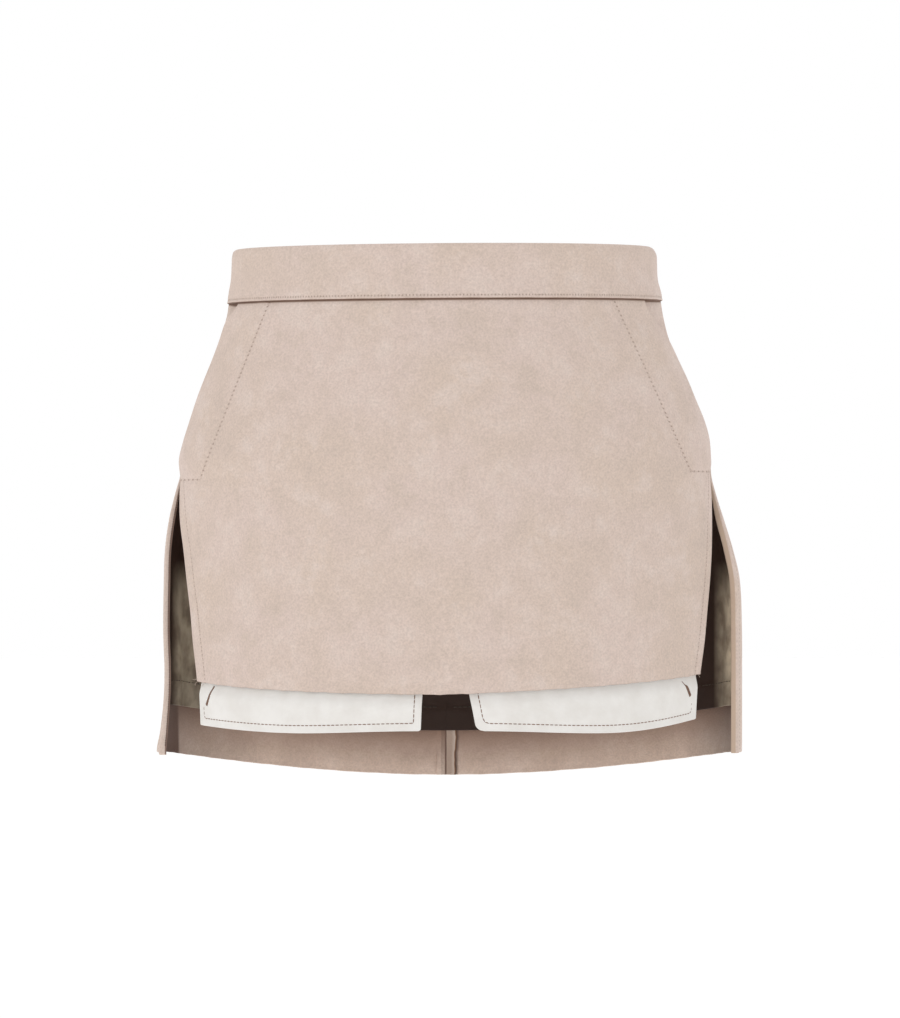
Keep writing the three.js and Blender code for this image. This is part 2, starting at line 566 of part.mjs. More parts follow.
const suedeMaterial = new THREE.MeshStandardMaterial({ color: 0xd3c1b5, roughness: 0.95, metalness: 0 });
const cottonMaterial = new THREE.MeshStandardMaterial({ color: 0xebe8e3, roughness: 0.85, metalness: 0 });
const satinMaterial = new THREE.MeshStandardMaterial({ color: 0x766a59, roughness: 0.4, metalness: 0 });
const zipTapeMaterial = new THREE.MeshStandardMaterial({ color: 0xc3b1a5, roughness: 0.8, metalness: 0 });
const metalMaterial = new THREE.MeshStandardMaterial({ color: 0xb9a99d, roughness: 0.4, metalness: 0.6 });

const skirt = new THREE.Group();
skirt.add(waistband(), frontPanel(), zipTape(), zipHead());
for (const [side, word] of [
  [1, "left"],
  [-1, "right"],
]) {
  skirt.add(
    backPanel(side, `back_panel_${word}`),
    pocketFacing(side, `pocket_facing_${word}`),
    bagPly(side, `pocket_bag_front_${word}`, false),
    bagPly(side, `pocket_bag_back_${word}`, true),
    lining(side, `lining_${word}`),
  );
}

export default skirt;
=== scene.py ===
"""A suede mini skirt in its worn form: slanted pockets, side slits, a longer lined back and pocket bags.

Lengths are millimetres until a mesh is made, and then metres. The front faces -Y, and the wearer's left
is +X.
"""

from __future__ import annotations

import logging
import math
from dataclasses import dataclass
from enum import Enum
from typing import Callable, Sequence

import bpy
import numpy as np
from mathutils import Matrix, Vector

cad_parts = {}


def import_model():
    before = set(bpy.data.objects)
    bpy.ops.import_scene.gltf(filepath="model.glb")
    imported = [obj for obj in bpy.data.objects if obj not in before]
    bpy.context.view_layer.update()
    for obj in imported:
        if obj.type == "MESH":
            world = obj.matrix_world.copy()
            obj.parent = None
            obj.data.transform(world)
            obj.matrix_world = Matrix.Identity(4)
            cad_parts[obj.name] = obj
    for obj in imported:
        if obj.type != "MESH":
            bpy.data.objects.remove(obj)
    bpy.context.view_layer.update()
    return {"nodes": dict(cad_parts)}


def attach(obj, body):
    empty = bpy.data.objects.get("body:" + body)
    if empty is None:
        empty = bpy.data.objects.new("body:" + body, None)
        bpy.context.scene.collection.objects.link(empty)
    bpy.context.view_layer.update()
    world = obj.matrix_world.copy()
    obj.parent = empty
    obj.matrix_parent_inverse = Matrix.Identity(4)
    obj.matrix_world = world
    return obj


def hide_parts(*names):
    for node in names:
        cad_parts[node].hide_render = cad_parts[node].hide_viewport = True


LOG = logging.getLogger("skirt")
MM = 0.001

Grid = np.ndarray
Surface = Callable[[Grid, Grid], Grid]
Tree = bpy.types.NodeTree
Socket = bpy.types.NodeSocket

NO_STITCH = 50.0  # what the map Stitch holds where no row of stitches is near
FAR = 99.0  # what the maps Crease and Edges hold where nothing shades the cloth


class Side(Enum):
    """A side of the skirt, as the wearer has it. The value is the sign of X."""

    LEFT = 1
    RIGHT = -1

    @property
    def word(self) -> str:
        """The side's word, as it stands in the names of nodes."""
        return self.name.lower()


def smooth(value: Grid, low: float, high: float) -> Grid:
    """Rise from 0 at low to 1 at high on a smooth curve."""
    t = np.clip((np.asarray(value, float) - low) / (high - low), 0, 1)
    return t * t * (3 - 2 * t)


def mix(a: Grid, b: Grid, t: Grid) -> Grid:
    """Go from a to b as t goes from 0 to 1."""
    return a + (b - a) * t


# The form of the cloth


class SectionTable:
    """Rows of sizes down the skirt, read on a smooth curve through them."""

    def __init__(self, names: Sequence[str], rows: Sequence[Sequence[float]]) -> None:
        """Keep the rows.

        Args:
            names: the column names, the first of them z.
            rows: the rows, from the highest z down.
        """
        values = np.array(rows, float)
        self.z = values[:, 0]
        self.columns = {name: values[:, k] for k, name in enumerate(names)}

    def at(self, name: str, z: Grid) -> Grid:
        """Read one column at some heights.

        Args:
            name: the column.
            z: the heights.

        Returns:
            The column's values there.
        """
        z = np.asarray(z, float)
        last = len(self.z) - 1
        i = np.clip(np.searchsorted(-self.z, -z, side="left"), 1, last)
        column = self.columns[name]

        def slope(k: Grid) -> Grid:
            """The curve's slope at row k."""
            after, before = np.clip(k + 1, 0, last), np.clip(k - 1, 0, last)
            return (column[after] - column[before]) / (self.z[after] - self.z[before])

        span = self.z[i] - self.z[i - 1]
        t = np.clip((z - self.z[i - 1]) / span, 0, 1)
        rise = (column[i] - column[i - 1]) * t * t * (3 - 2 * t)
        ease = slope(i - 1) * span * t * (1 - t) ** 2 - slope(i) * span * t * t * (1 - t)
        return column[i - 1] + rise + ease


@dataclass(frozen=True)
class Fold:
    """A soft fold: its middle, half-length, half-width, lean from upright in degrees, and height."""

    x: float
    z: float
    long: float
    wide: float
    lean: float
    high: float

    def height(self, x: Grid, z: Grid) -> Grid:
        """How far the fold pushes the cloth out at a place.

        Args:
            x: the place's distance from the middle.
            z: its height.

        Returns:
            The height of the fold there.
        """
        lean = math.radians(self.lean)
        across = (x - self.x) * math.cos(lean) + (z - self.z) * math.sin(lean)
        along = (z - self.z) * math.cos(lean) - (x - self.x) * math.sin(lean)
        return self.high * np.exp(-((across / self.wide) ** 2) - (along / self.long) ** 2)


@dataclass(frozen=True)
class SkirtForm:
    """The surfaces that the cloth follows, the same as in the CAD part but for two things.

    The front_dents are too small for it. The left pocket mouth's edge stands up to 3.3 mm further in here
    near the waist, in the second row of front_table, so that the facing behind it shows.

    The front panel's places are (u, z), with u 0 at centre front, 1 at the wearer's left edge and -1 at the
    right one. The back's are (degrees, z), with 0 at centre front and 180 at centre back, for one side.
    """

    suede: float = 1.4
    turned: float = 1.3
    cotton: float = 1.0
    seam_gap: float = 0.3
    into_band: float = 0.5
    layer_gap: float = 0.55
    band_height: float = 35.5
    band_proud: float = 1.2
    mouth_top_left: float = 66.5
    mouth_top_right: float = 72.0
    slit_top: float = -127.6

    front_table = SectionTable(
        ("z", "left", "right", "edge_y", "front_y", "wrap"),
        (
            (-12, 129.3, 134.5, -36, -95.4, 66),
            (-29, 137.6, 144.2, -24, -98, 73),
            (-40, 145.9, 148.2, -19, -100, 76),
            (-53, 152.4, 153.2, -16, -102.3, 78),
            (-66, 158.6, 158.6, -14, -104.4, 79),
            (-79, 164, 163.6, -12.5, -106.2, 79),
            (-92, 169.5, 167.9, -10.5, -107.6, 80),
            (-105, 173.2, 172.1, -8.5, -108.6, 81),
            (-118, 174.3, 175.3, -5, -109.3, 83),
            (-128, 174, 174.4, -2, -109.7, 84),
            (-140, 174.4, 174.8, -7, -110, 78),
            (-157, 174.4, 174.3, -13, -110.3, 72),
            (-177, 173.9, 171.7, -17, -110.6, 69),
            (-197, 172.6, 169.4, -20, -110.8, 68),
            (-217, 170.7, 166.9, -23, -110.9, 67),
            (-236, 168.8, 165.1, -26, -111, 66),
            (-262, 165.4, 162.2, -28, -111, 66),
            (-300, 163.2, 160.4, -30, -110, 66),
        ),
    )
    back_table = SectionTable(
        ("z", "left", "right", "middle_y", "front_depth", "back_y", "left_edge", "right_edge"),
        (
            (24, 137.4, 139.4, 2, 96, 95.5, 87, 87),
            (10, 137.6, 139.6, 2, 96.6, 96.2, 87, 87),
            (0, 138.2, 140.2, 2.5, 97.2, 97, 87, 87),
            (-8, 140.3, 141.6, 2.8, 98, 98, 87, 87),
            (-16, 141.6, 142.8, 3, 99, 99.5, 87, 87),
            (-23, 142.7, 143.9, 3, 101, 102, 87, 87),
            (-38, 146.5, 148.2, 3.5, 103, 106.5, 87, 87),
            (-52, 152.8, 153.4, 4, 104.5, 111, 87, 87),
            (-65, 159.1, 158.5, 5, 105.5, 115, 87, 87),
            (-78, 164.4, 163.5, 6, 106.5, 118.5, 87, 87),
            (-91, 169.6, 167.5, 6.5, 107.5, 121.5, 87, 87),
            (-105, 173.2, 171.3, 7, 108.5, 124, 87, 87),
            (-118, 174.3, 174.5, 7.5, 109, 126, 87, 87),
            (-128, 174.8, 175, 8, 109, 127.3, 87, 87),
            (-138, 177.2, 177.8, 8, 109, 128.4, 86.5, 86.5),
            (-157, 183.1, 182.4, 8, 109, 129.6, 82.5, 85),
            (-177, 189.2, 185.1, 8, 109, 130.2, 80, 84),
            (-197, 193.6, 185.8, 8, 109, 130.2, 78.5, 83.5),
            (-230, 195, 186.2, 8, 109, 129.4, 77.6, 83.5),
            (-256, 195.1, 185.4, 8, 109, 128.6, 77.6, 83.5),
            (-276, 195.1, 186, 8, 109, 128, 77.6, 83),
            (-296, 195.1, 188.2, 8, 109, 127.2, 77.6, 81),
            (-308, 195, 190.4, 8, 109, 126.8, 77.6, 79),
            (-340, 194.9, 191, 8, 109, 126, 77.6, 78.5),
        ),
    )
    front_folds = (
        Fold(-128, -205, 52, 11, 6, 1.6),
        Fold(-108, -222, 44, 10, 4, -1.3),
        Fold(148, -106, 30, 12, 48, -1.3),
        Fold(134, -146, 34, 11, 40, 1.2),
        Fold(58, -96, 62, 16, 34, -0.9),
        Fold(-52, -118, 70, 18, -22, 0.9),
        Fold(20, -214, 48, 20, -8, 0.8),
    )
    front_dents = (
        Fold(154, -84, 9, 4, 50, -0.6),
        Fold(162, -104, 10, 4, 64, -0.5),
        Fold(-157, -208, 24, 3.6, 6, 0.6),
        Fold(-149, -213, 22, 3.6, 3, -0.5),
        Fold(-141, -222, 26, 4.5, 4, 0.45),
    )
    back_folds = (
        Fold(-118, -196, 58, 14, -10, 1.5),
        Fold(-82, -246, 52, 13, 5, -1.3),
        Fold(96, -168, 48, 14, 24, -1.2),
        Fold(132, -238, 60, 13, 4, 1.5),
        Fold(44, -222, 66, 16, -12, 1.1),
    )

    @staticmethod
    def pushed_out(x: Grid, y: Grid, z: Grid, distance: Grid) -> Grid:
        """Move points level and away from the body's axis.

        Args:
            x, y, z: the points' coordinates.
            distance: how far each one moves.

        Returns:
            The moved points, with a last axis of 3.
        """
        length = np.hypot(x, y * 1.6)
        return np.stack([x + distance * x / length, y + distance * y * 1.6 / length, z + 0 * x], axis=-1)

    def back(self, side: Grid, degrees: Grid, z: Grid) -> Grid:
        """The back's outer surface, which the waistband follows all round.

        Args:
            side: 1 or -1, one for each point or one for all.
            degrees: places round the section.
            z: heights.

        Returns:
            Points, with a last axis of 3.
        """
        side, degrees, z = np.broadcast_arrays(side, degrees, np.asarray(z, float))
        table = self.back_table
        angle = np.radians(degrees)
        middle = table.at("middle_y", z)
        depth = np.where(degrees < 90, table.at("front_depth", z), table.at("back_y", z) - middle)
        wide = np.where(side < 0, table.at("right", z), table.at("left", z))
        x = side * wide * np.sin(angle)
        y = middle - depth * np.cos(angle)
        out = sum(fold.height(x, z) for fold in self.back_folds) * (degrees > 90)
        return self.pushed_out(x, y, z, out)

    def front(self, u: Grid, z: Grid) -> Grid:
        """The front panel's outer surface.

        Args:
            u: shares of the way from centre front to an edge.
            z: heights.

        Returns:
            Points, with a last axis of 3.
        """
        u, z = np.broadcast_arrays(np.asarray(u, float), np.asarray(z, float))
        table = self.front_table
        side = np.where(u < 0, -1, 1)
        wrap = np.radians(table.at("wrap", z))
        angle = np.abs(u) * wrap
        edge = np.where(u < 0, table.at("right", z), table.at("left", z))
        x = side * edge * np.sin(angle) / np.sin(wrap)
        front_y = table.at("front_y", z)
        y = front_y + (table.at("edge_y", z) - front_y) * (1 - np.cos(angle)) / (1 - np.cos(wrap))
        folds = self.front_folds + self.front_dents
        panel = self.pushed_out(x, y, z, sum(fold.height(x, z) for fold in folds))
        waist = self.back(side, self.front_degrees(u), z)
        return mix(panel, waist, smooth(z, -27, -15)[..., None])

    def front_degrees(self, u: Grid) -> Grid:
        """Degrees round the waist for a share of the front."""
        return np.abs(u) * np.where(np.asarray(u) < 0, self.mouth_top_right, self.mouth_top_left)

    @staticmethod
    def under(surface: Surface, s: Grid, z: Grid, depth: Grid, step: float) -> Grid:
        """Points at a depth under a surface.

        Args:
            surface: a surface of places (s, z).
            s: places across.
            z: heights.
            depth: how deep each point lies, and below 0 where it lies over the surface.
            step: the step across that finds the surface's normal.

        Returns:
            Points, with a last axis of 3.
        """
        here = surface(s, z)
        across = surface(s + step, z) - surface(s - step, z)
        down = surface(s, z - 0.5) - surface(s, z + 0.5)
        normal = np.cross(across, down)
        normal /= np.linalg.norm(normal, axis=-1, keepdims=True)
        inward = np.sum(normal[..., :2] * here[..., :2], axis=-1) < 0
        normal[inward] *= -1
        return here - normal * np.broadcast_to(depth, here.shape[:-1])[..., None]

    def front_under(self, u: Grid, z: Grid, depth: Grid) -> Grid:
        """Points at a depth under the front panel's outer surface."""
        u, z = np.broadcast_arrays(np.asarray(u, float), np.asarray(z, float))
        return self.under(self.front, u, z, depth, 0.002)

    def back_under(self, side: Grid, degrees: Grid, z: Grid, depth: Grid) -> Grid:
        """Points at a depth under the back's outer surface."""
        side, degrees, z = np.broadcast_arrays(side, degrees, np.asarray(z, float))
        return self.under(lambda s, height: self.back(side, s, height), degrees, z, depth, 0.1)

    def front_in_from_edge(self, side: Side, z: Grid, length: Grid) -> Grid:
        """The front's share at a length of cloth in from its edge.

        Args:
            side: the edge's side.
            z: heights.
            length: the length of cloth.

        Returns:
            Shares, 1 at the edge.
        """
        step = 0.01
        sign = side.value
        edge = self.front(sign + 0 * z, z)
        inward = self.front(sign * (1 - step) + 0 * z, z)
        return 1 - length * step / np.linalg.norm(edge - inward, axis=-1)

    def front_at_width(self, side: Side, half_width: Grid, z: Grid) -> Grid:
        """The front's share at a half-width.

        Args:
            side: the side.
            half_width: distances from the middle.
            z: heights.

        Returns:
            Shares, 1 at the edge.
        """
        wrap = np.radians(self.front_table.at("wrap", z))
        edge = self.front_table.at(side.word, z)
        return np.arcsin(np.minimum(1, half_width / edge * np.sin(wrap))) / wrap

    def back_degrees(self, side: Side, degrees: Grid, z: Grid, length: Grid) -> Grid:
        """Degrees that a length of cloth takes on the back at a place.

        Args:
            side: the side.
            degrees: the places.
            z: their heights.
            length: the length of cloth.

        Returns:
            The degrees.
        """
        a = self.back(side.value, degrees, z)
        b = self.back(side.value, degrees + 1, z)
        return length / np.linalg.norm(a - b, axis=-1)

    def back_in_from_edge(self, side: Side, z: Grid, length: Grid) -> Grid:
        """The place, in degrees, of a length of cloth in from the back's side edge."""
        edge = self.back_table.at(f"{side.word}_edge", z)
        return edge + self.back_degrees(side, edge, z, length)

    def back_from_centre(self, side: Side, z: Grid, length: Grid) -> Grid:
        """The place, in degrees, of a length of cloth out from centre back."""
        return 180 - self.back_degrees(side, 178 + 0 * z, z, length)

    def band_top(self, side: Grid, degrees: Grid) -> Grid:
        """The height of the waistband's upper edge.

        Args:
            side: 1 or -1 for each place.
            degrees: places round the waist.

        Returns:
            The heights.
        """
        angle = np.radians(degrees)
        across = np.sin(angle)
        return 20.3 - 1.8 * np.cos(angle) + 0.6 * across**2 + 1.0 * side * across

    def waist_seam(self, side: Grid, degrees: Grid) -> Grid:
        """The height of the seam under the waistband."""
        return self.band_top(side, degrees) - self.band_height

    @staticmethod
    def front_hem(u: Grid) -> Grid:
        """The height of the front panel's hem."""
        u = np.asarray(u, float)
        return mix(-266.8, np.where(u < 0, -262.0, -257.3), np.abs(u) ** np.where(u < 0, 2.0, 1.1))

    @staticmethod
    def back_hem(degrees: Grid) -> Grid:
        """The height of the back's hem."""
        return mix(-309.5, -333.0, smooth(degrees, 85, 180))


FORM = SkirtForm()
NEAR_EDGE = np.array([0, 0.12, 0.35, 0.7, 1.2, 2.0])


def rounded_edge(distance: Grid, radius: float) -> Grid:
    """How far a face of cloth draws in beside an edge that is rounded.

    Args:
        distance: distance in from the edge.
        radius: the radius of the rounding.

    Returns:
        The depth that each face draws in by.
    """
    t = np.clip(distance / radius, 0, 1)
    return radius * (1 - np.sqrt(1 - (1 - t) ** 2))


# Meshes


@dataclass
class ClothWall:
    """A closed wall of cloth, from a grid of points on its outer face and one on its inner face.

    Each map holds a pair of numbers for each place, in millimetres but for the stitch number:
    Stitch, the signed distance from the nearest row of stitches, and the stitch number along it.
    Crease, the distance from the waist seam, and the signed distance from centre back.
    Edges, the distance in from where a turned edge starts to shade the cloth, and the height over the hem.
    """

    name: str
    outer: Grid
    inner: Grid
    maps: dict[str, Grid] | None = None
    rim_like_inner: bool = False

    def cloth(self) -> Grid:
        """Distances across and down the cloth for each place, in millimetres.

        Returns:
            The pairs, with 0 across in the middle and 0 down at the upper edge.
        """
        across = np.linalg.norm(np.diff(self.outer, axis=1), axis=-1)
        across = np.concatenate([np.zeros((len(across), 1)), np.cumsum(across, axis=1)], axis=1)
        across -= across[:, -1:] / 2
        down = np.linalg.norm(np.diff(self.outer, axis=0), axis=-1)
        down = np.concatenate([np.zeros((1, down.shape[1])), np.cumsum(down, axis=0)], axis=0)
        return np.stack([across, down], axis=-1)

    def build(self, finishes: Sequence[bpy.types.Material]) -> bpy.types.Object:
        """Make the wall's object.

        Args:
            finishes: the material of the outer face, then that of the inner face. The rims have the first,
                or the second with rim_like_inner.

        Returns:
            The object, with the UV map Cloth and those that the wall carries.
        """
        rows, columns = self.outer.shape[:2]
        count = rows * columns
        index = np.arange(count).reshape(rows, columns)
        a, b, c, d = index[:-1, :-1], index[1:, :-1], index[1:, 1:], index[:-1, 1:]
        front = np.stack([a, b, c, d], axis=-1).reshape(-1, 4)
        behind = np.stack([a, d, c, b], axis=-1).reshape(-1, 4) + count
        border = np.concatenate([index[0, :-1], index[:-1, -1], index[-1, :0:-1], index[:0:-1, 0]])
        after = np.roll(border, -1)
        rim = np.stack([border, after, after + count, border + count], axis=-1)
        faces = np.concatenate([front, rim, behind])
        points = np.concatenate([self.outer.reshape(-1, 3), self.inner.reshape(-1, 3)]) * MM
        if enclosed_volume(points, faces) < 0:
            faces = faces[:, ::-1]
        rim_finish = np.full(len(rim), int(self.rim_like_inner))
        face_finish = np.concatenate([np.zeros(len(front), int), rim_finish, np.ones(len(behind), int)])
        maps = {"Cloth": self.cloth(), **(self.maps or {})}
        both = {name: np.tile(pairs.reshape(-1, 2), (2, 1)) for name, pairs in maps.items()}
        return mesh_object(self.name, points, faces, finishes, face_finish, both)


def pairs(first: Grid, second: Grid) -> Grid:
    """Pairs of numbers for a UV map."""
    return np.stack(np.broadcast_arrays(first, second), axis=-1).astype(float)


def enclosed_volume(points: Grid, faces: Grid) -> float:
    """Volume inside a closed surface of four-sided faces, below 0 if the faces point in.

    Args:
        points: the vertices.
        faces: four vertex numbers for each face.

    Returns:
        The volume, in the points' unit cubed.
    """
    p = points[faces]
    first = np.sum(p[:, 0] * np.cross(p[:, 1], p[:, 2]))
    second = np.sum(p[:, 0] * np.cross(p[:, 2], p[:, 3]))
    return float(first + second) / 6


def mesh_object(
    name: str,
    points: Grid,
    faces: Grid,
    finishes: Sequence[bpy.types.Material],
    face_finish: Grid | None = None,
    maps: dict[str, Grid] | None = None,
) -> bpy.types.Object:
    """Make a smooth-shaded mesh object of four-sided faces.

    Args:
        name: the object's name.
        points: its vertices, in metres.
        faces: four vertex numbers for each face.
        finishes: its materials.
        face_finish: the number of each face's material, or nothing for the first one.
        maps: UV maps by name, with one pair of numbers for each vertex.

    Returns:
        The object, linked to the scene.
    """
    mesh = bpy.data.meshes.new(name)
    mesh.vertices.add(len(points))
    mesh.vertices.foreach_set("co", points.ravel().astype(np.float32))
    mesh.loops.add(faces.size)
    mesh.loops.foreach_set("vertex_index", faces.ravel().astype(np.int32))
    mesh.polygons.add(len(faces))
    mesh.polygons.foreach_set("loop_start", np.arange(0, faces.size, 4, dtype=np.int32))
    if face_finish is not None:
        mesh.polygons.foreach_set("material_index", face_finish.astype(np.int32))
    mesh.update(calc_edges=True)
    for map_name, values in (maps or {}).items():
        layer = mesh.uv_layers.new(name=map_name)
        layer.data.foreach_set("uv", values[faces.ravel()].ravel().astype(np.float32))
    for finish in finishes:
        mesh.materials.append(finish)
    mesh.validate()
    piece = bpy.data.objects.new(name, mesh)
    bpy.context.scene.collection.objects.link(piece)
    bpy.ops.object.select_all(action="DESELECT")
    piece.select_set(True)
    bpy.context.view_layer.objects.active = piece
    bpy.ops.object.shade_smooth_by_angle(angle=math.radians(50))
    return piece


def row_heights(top: Grid, hem: Grid, middle_rows: int) -> Grid:
    """Heights for the rows of a wall, close together at its upper and lower edges.

    Args:
        top: the height of the upper edge in each column.
        hem: the height of the lower edge in each column.
        middle_rows: how many even rows lie between the close ones.

    Returns:
        Heights, by row and column.
    """
    near = NEAR_EDGE[:, None]
    t = np.linspace(0, 1, middle_rows)[1:-1, None]
    low, high = hem + near[-1], top - near[-1]
    return np.concatenate([top - near, mix(high, low, t), (hem + near)[::-1]])


def cloth_face_depths(
    depth: Grid, thick: Grid, edges: Sequence[tuple[Grid, float]]
) -> tuple[Grid, Grid]:
    """Depths of the outer and inner face of a wall whose edges are rounded.

    Args:
        depth: the depth of the outer face, away from the edges.
        thick: the wall's thickness.
        edges: for each edge, the distances in from it and its radius.

    Returns:
        The depths of the outer face and of the inner face.
    """
    inset = np.minimum(sum(rounded_edge(*edge) for edge in edges), thick * 0.42)
    return depth + inset, depth + thick - inset


@dataclass(frozen=True)
class ThreadRow:
    """A row of stitches: the points that it follows, the way out of the cloth, and a stitch's length."""

    path: Grid
    out: Grid
    pitch: float


@dataclass(frozen=True)
class Thread:
    """Sewing thread, whose stitches rise from the cloth and dip back into it."""

    radius: float = 0.26
    share: float = 0.78
    dip: float = 0.9
    sides: int = 6

    def build(self, name: str, rows: Sequence[ThreadRow], finish: bpy.types.Material) -> bpy.types.Object:
        """Make all the stitches of one piece as one object.

        Args:
            name: the object's name.
            rows: the rows of stitches.
            finish: the thread's material.

        Returns:
            The object.
        """
        low = -self.dip
        rings = ((0.0, 0.45, low), (0.16, 0.9, 0.05), (0.5, 1.0, 0.45), (0.84, 0.9, 0.05), (1.0, 0.45, low))
        around = np.arange(self.sides) * 2 * math.pi / self.sides
        points, faces, start = [], [], 0
        for row in rows:
            length = np.concatenate([[0], np.cumsum(np.linalg.norm(np.diff(row.path, axis=0), axis=1))])
            count = max(1, int(length[-1] / row.pitch))
            for k in range(count):
                first = (k + (1 - self.share) / 2) * row.pitch
                ends = np.array([first, first + row.pitch * self.share])
                a, b = (np.array([np.interp(e, length, row.path[:, n]) for n in range(3)]) for e in ends)
                out = np.array([np.interp(ends.mean(), length, row.out[:, n]) for n in range(3)])
                along = (b - a) / np.linalg.norm(b - a)
                out -= along * np.dot(out, along)
                out /= np.linalg.norm(out)
                across = np.cross(along, out)
                for t, size, lift in rings:
                    centre = mix(a, b, t) + out * lift * self.radius
                    ring = np.outer(np.cos(around), across) + np.outer(np.sin(around), out) * 0.8
                    points.append(centre + ring * size * self.radius)
                for r in range(len(rings) - 1):
                    for s in range(self.sides):
                        n = (s + 1) % self.sides
                        i, j = start + r * self.sides, start + (r + 1) * self.sides
                        faces.append((i + s, i + n, j + n, j + s))
                last = start + (len(rings) - 1) * self.sides
                faces += [(start + 3, start + 2, start + 1, start), (start, start + 5, start + 4, start + 3)]
                faces += [(last, last + 1, last + 2, last + 3), (last + 3, last + 4, last + 5, last)]
                start += len(rings) * self.sides
        return mesh_object(name, np.concatenate(points) * MM, np.array(faces), [finish])


def thread_row(surface: Callable[[Grid], Grid], places: Grid, pitch: float) -> ThreadRow:
    """A row of stitches on a surface.

    Args:
        surface: gives points at a depth along the row, for depths below 0 over the cloth.
        places: how far along the row the points lie, only for their number.
        pitch: the length of a stitch with its gap.

    Returns:
        The row, with the way out of the cloth at each point.
    """
    on, over = surface(0 * places), surface(0 * places - 1)
    out = over - on
    return ThreadRow(on, out / np.linalg.norm(out, axis=-1, keepdims=True), pitch)


# Finishes


def linear(hex_colour: str) -> tuple[float, float, float, float]:
    """Turn an sRGB hex colour to a linear one with full alpha."""
    parts = [int(hex_colour[k : k + 2], 16) / 255 for k in (1, 3, 5)]
    return (*[c / 12.92 if c <= 0.04045 else ((c + 0.055) / 1.055) ** 2.4 for c in parts], 1.0)


def add_node(
    tree: Tree,
    kind: str,
    settings: dict[str, object] | None = None,
    links: dict[str | int, Socket] | None = None,
) -> bpy.types.Node:
    """Add a node with its settings and links.

    Args:
        tree: the material's node tree.
        kind: the node's type.
        settings: properties by name, and input values by socket name or number where they start with "in:".
        links: the sockets that feed its inputs.

    Returns:
        The node.
    """
    node = tree.nodes.new(kind)
    for key, value in (settings or {}).items():
        if key.startswith("in:"):
            socket = key[3:]
            node.inputs[int(socket) if socket.isdigit() else socket].default_value = value
        else:
            setattr(node, key, value)
    for key, source in (links or {}).items():
        tree.links.new(source, node.inputs[key])
    return node


def new_material(name: str) -> tuple[bpy.types.Material, Tree, bpy.types.Node]:
    """Make a node material.

    Args:
        name: the material's name.

    Returns:
        The material, its tree and its shader.
    """
    material = bpy.data.materials.new(name)
    material.use_nodes = True
    tree = material.node_tree
    return material, tree, tree.nodes["Principled BSDF"]


def noise(tree: Tree, coordinates: Socket, size_mm: float, detail: float) -> Socket:
    """Noise whose patches have a real size.

    Args:
        tree: the material's tree.
        coordinates: coordinates in metres.
        size_mm: the size of a patch in millimetres.
        detail: octaves of finer noise.

    Returns:
        The noise, from 0 to 1.
    """
    settings = {"in:Scale": 1000 / size_mm, "in:Detail": detail, "in:Roughness": 0.55}
    return add_node(tree, "ShaderNodeTexNoise", settings, {"Vector": coordinates}).outputs["Fac"]


def blend(
    tree: Tree,
    value: Socket,
    span: tuple[float, float],
    low: tuple | Socket,
    high: tuple | Socket,
) -> Socket:
    """Blend two colours as a value crosses a span.

    Args:
        tree: the material's tree.
        value: the value.
        span: where the blend starts and ends.
        low: the first colour, as numbers or a socket.
        high: the second colour.

    Returns:
        The colour.
    """
    ends = {"in:From Min": span[0], "in:From Max": span[1]}
    share = add_node(tree, "ShaderNodeMapRange", ends, {"Value": value})
    settings: dict[str, object] = {"data_type": "RGBA"}
    links = {0: share.outputs[0]}
    for number, colour in ((6, low), (7, high)):
        if isinstance(colour, tuple):
            settings[f"in:{number}"] = colour
        else:
            links[number] = colour
    return add_node(tree, "ShaderNodeMix", settings, links).outputs[2]


def shaded(
    tree: Tree,
    colour: Socket,
    value: Socket,
    span: tuple[float, float],
    factors: tuple[float, float],
) -> Socket:
    """Make a colour darker or paler as a value crosses a span.

    Args:
        tree: the material's tree.
        colour: the colour.
        value: the value.
        span: where the change starts and ends.
        factors: what the colour is multiplied by at both ends.

    Returns:
        The colour.
    """
    ends = {"in:From Min": span[0], "in:From Max": span[1], "in:To Min": factors[0], "in:To Max": factors[1]}
    share = add_node(tree, "ShaderNodeMapRange", ends, {"Value": value})
    links = {0: colour, "Scale": share.outputs[0]}
    return add_node(tree, "ShaderNodeVectorMath", {"operation": "SCALE"}, links).outputs[0]


def map_parts(tree: Tree, name: str) -> tuple[Socket, Socket]:
    """Both numbers of a UV map.

    Args:
        tree: the material's tree.
        name: the map's name.

    Returns:
        The first number and the second.
    """
    row = add_node(tree, "ShaderNodeUVMap", {"uv_map": name})
    parts = add_node(tree, "ShaderNodeSeparateXYZ", {}, {0: row.outputs[0]})
    return parts.outputs[0], parts.outputs[1]


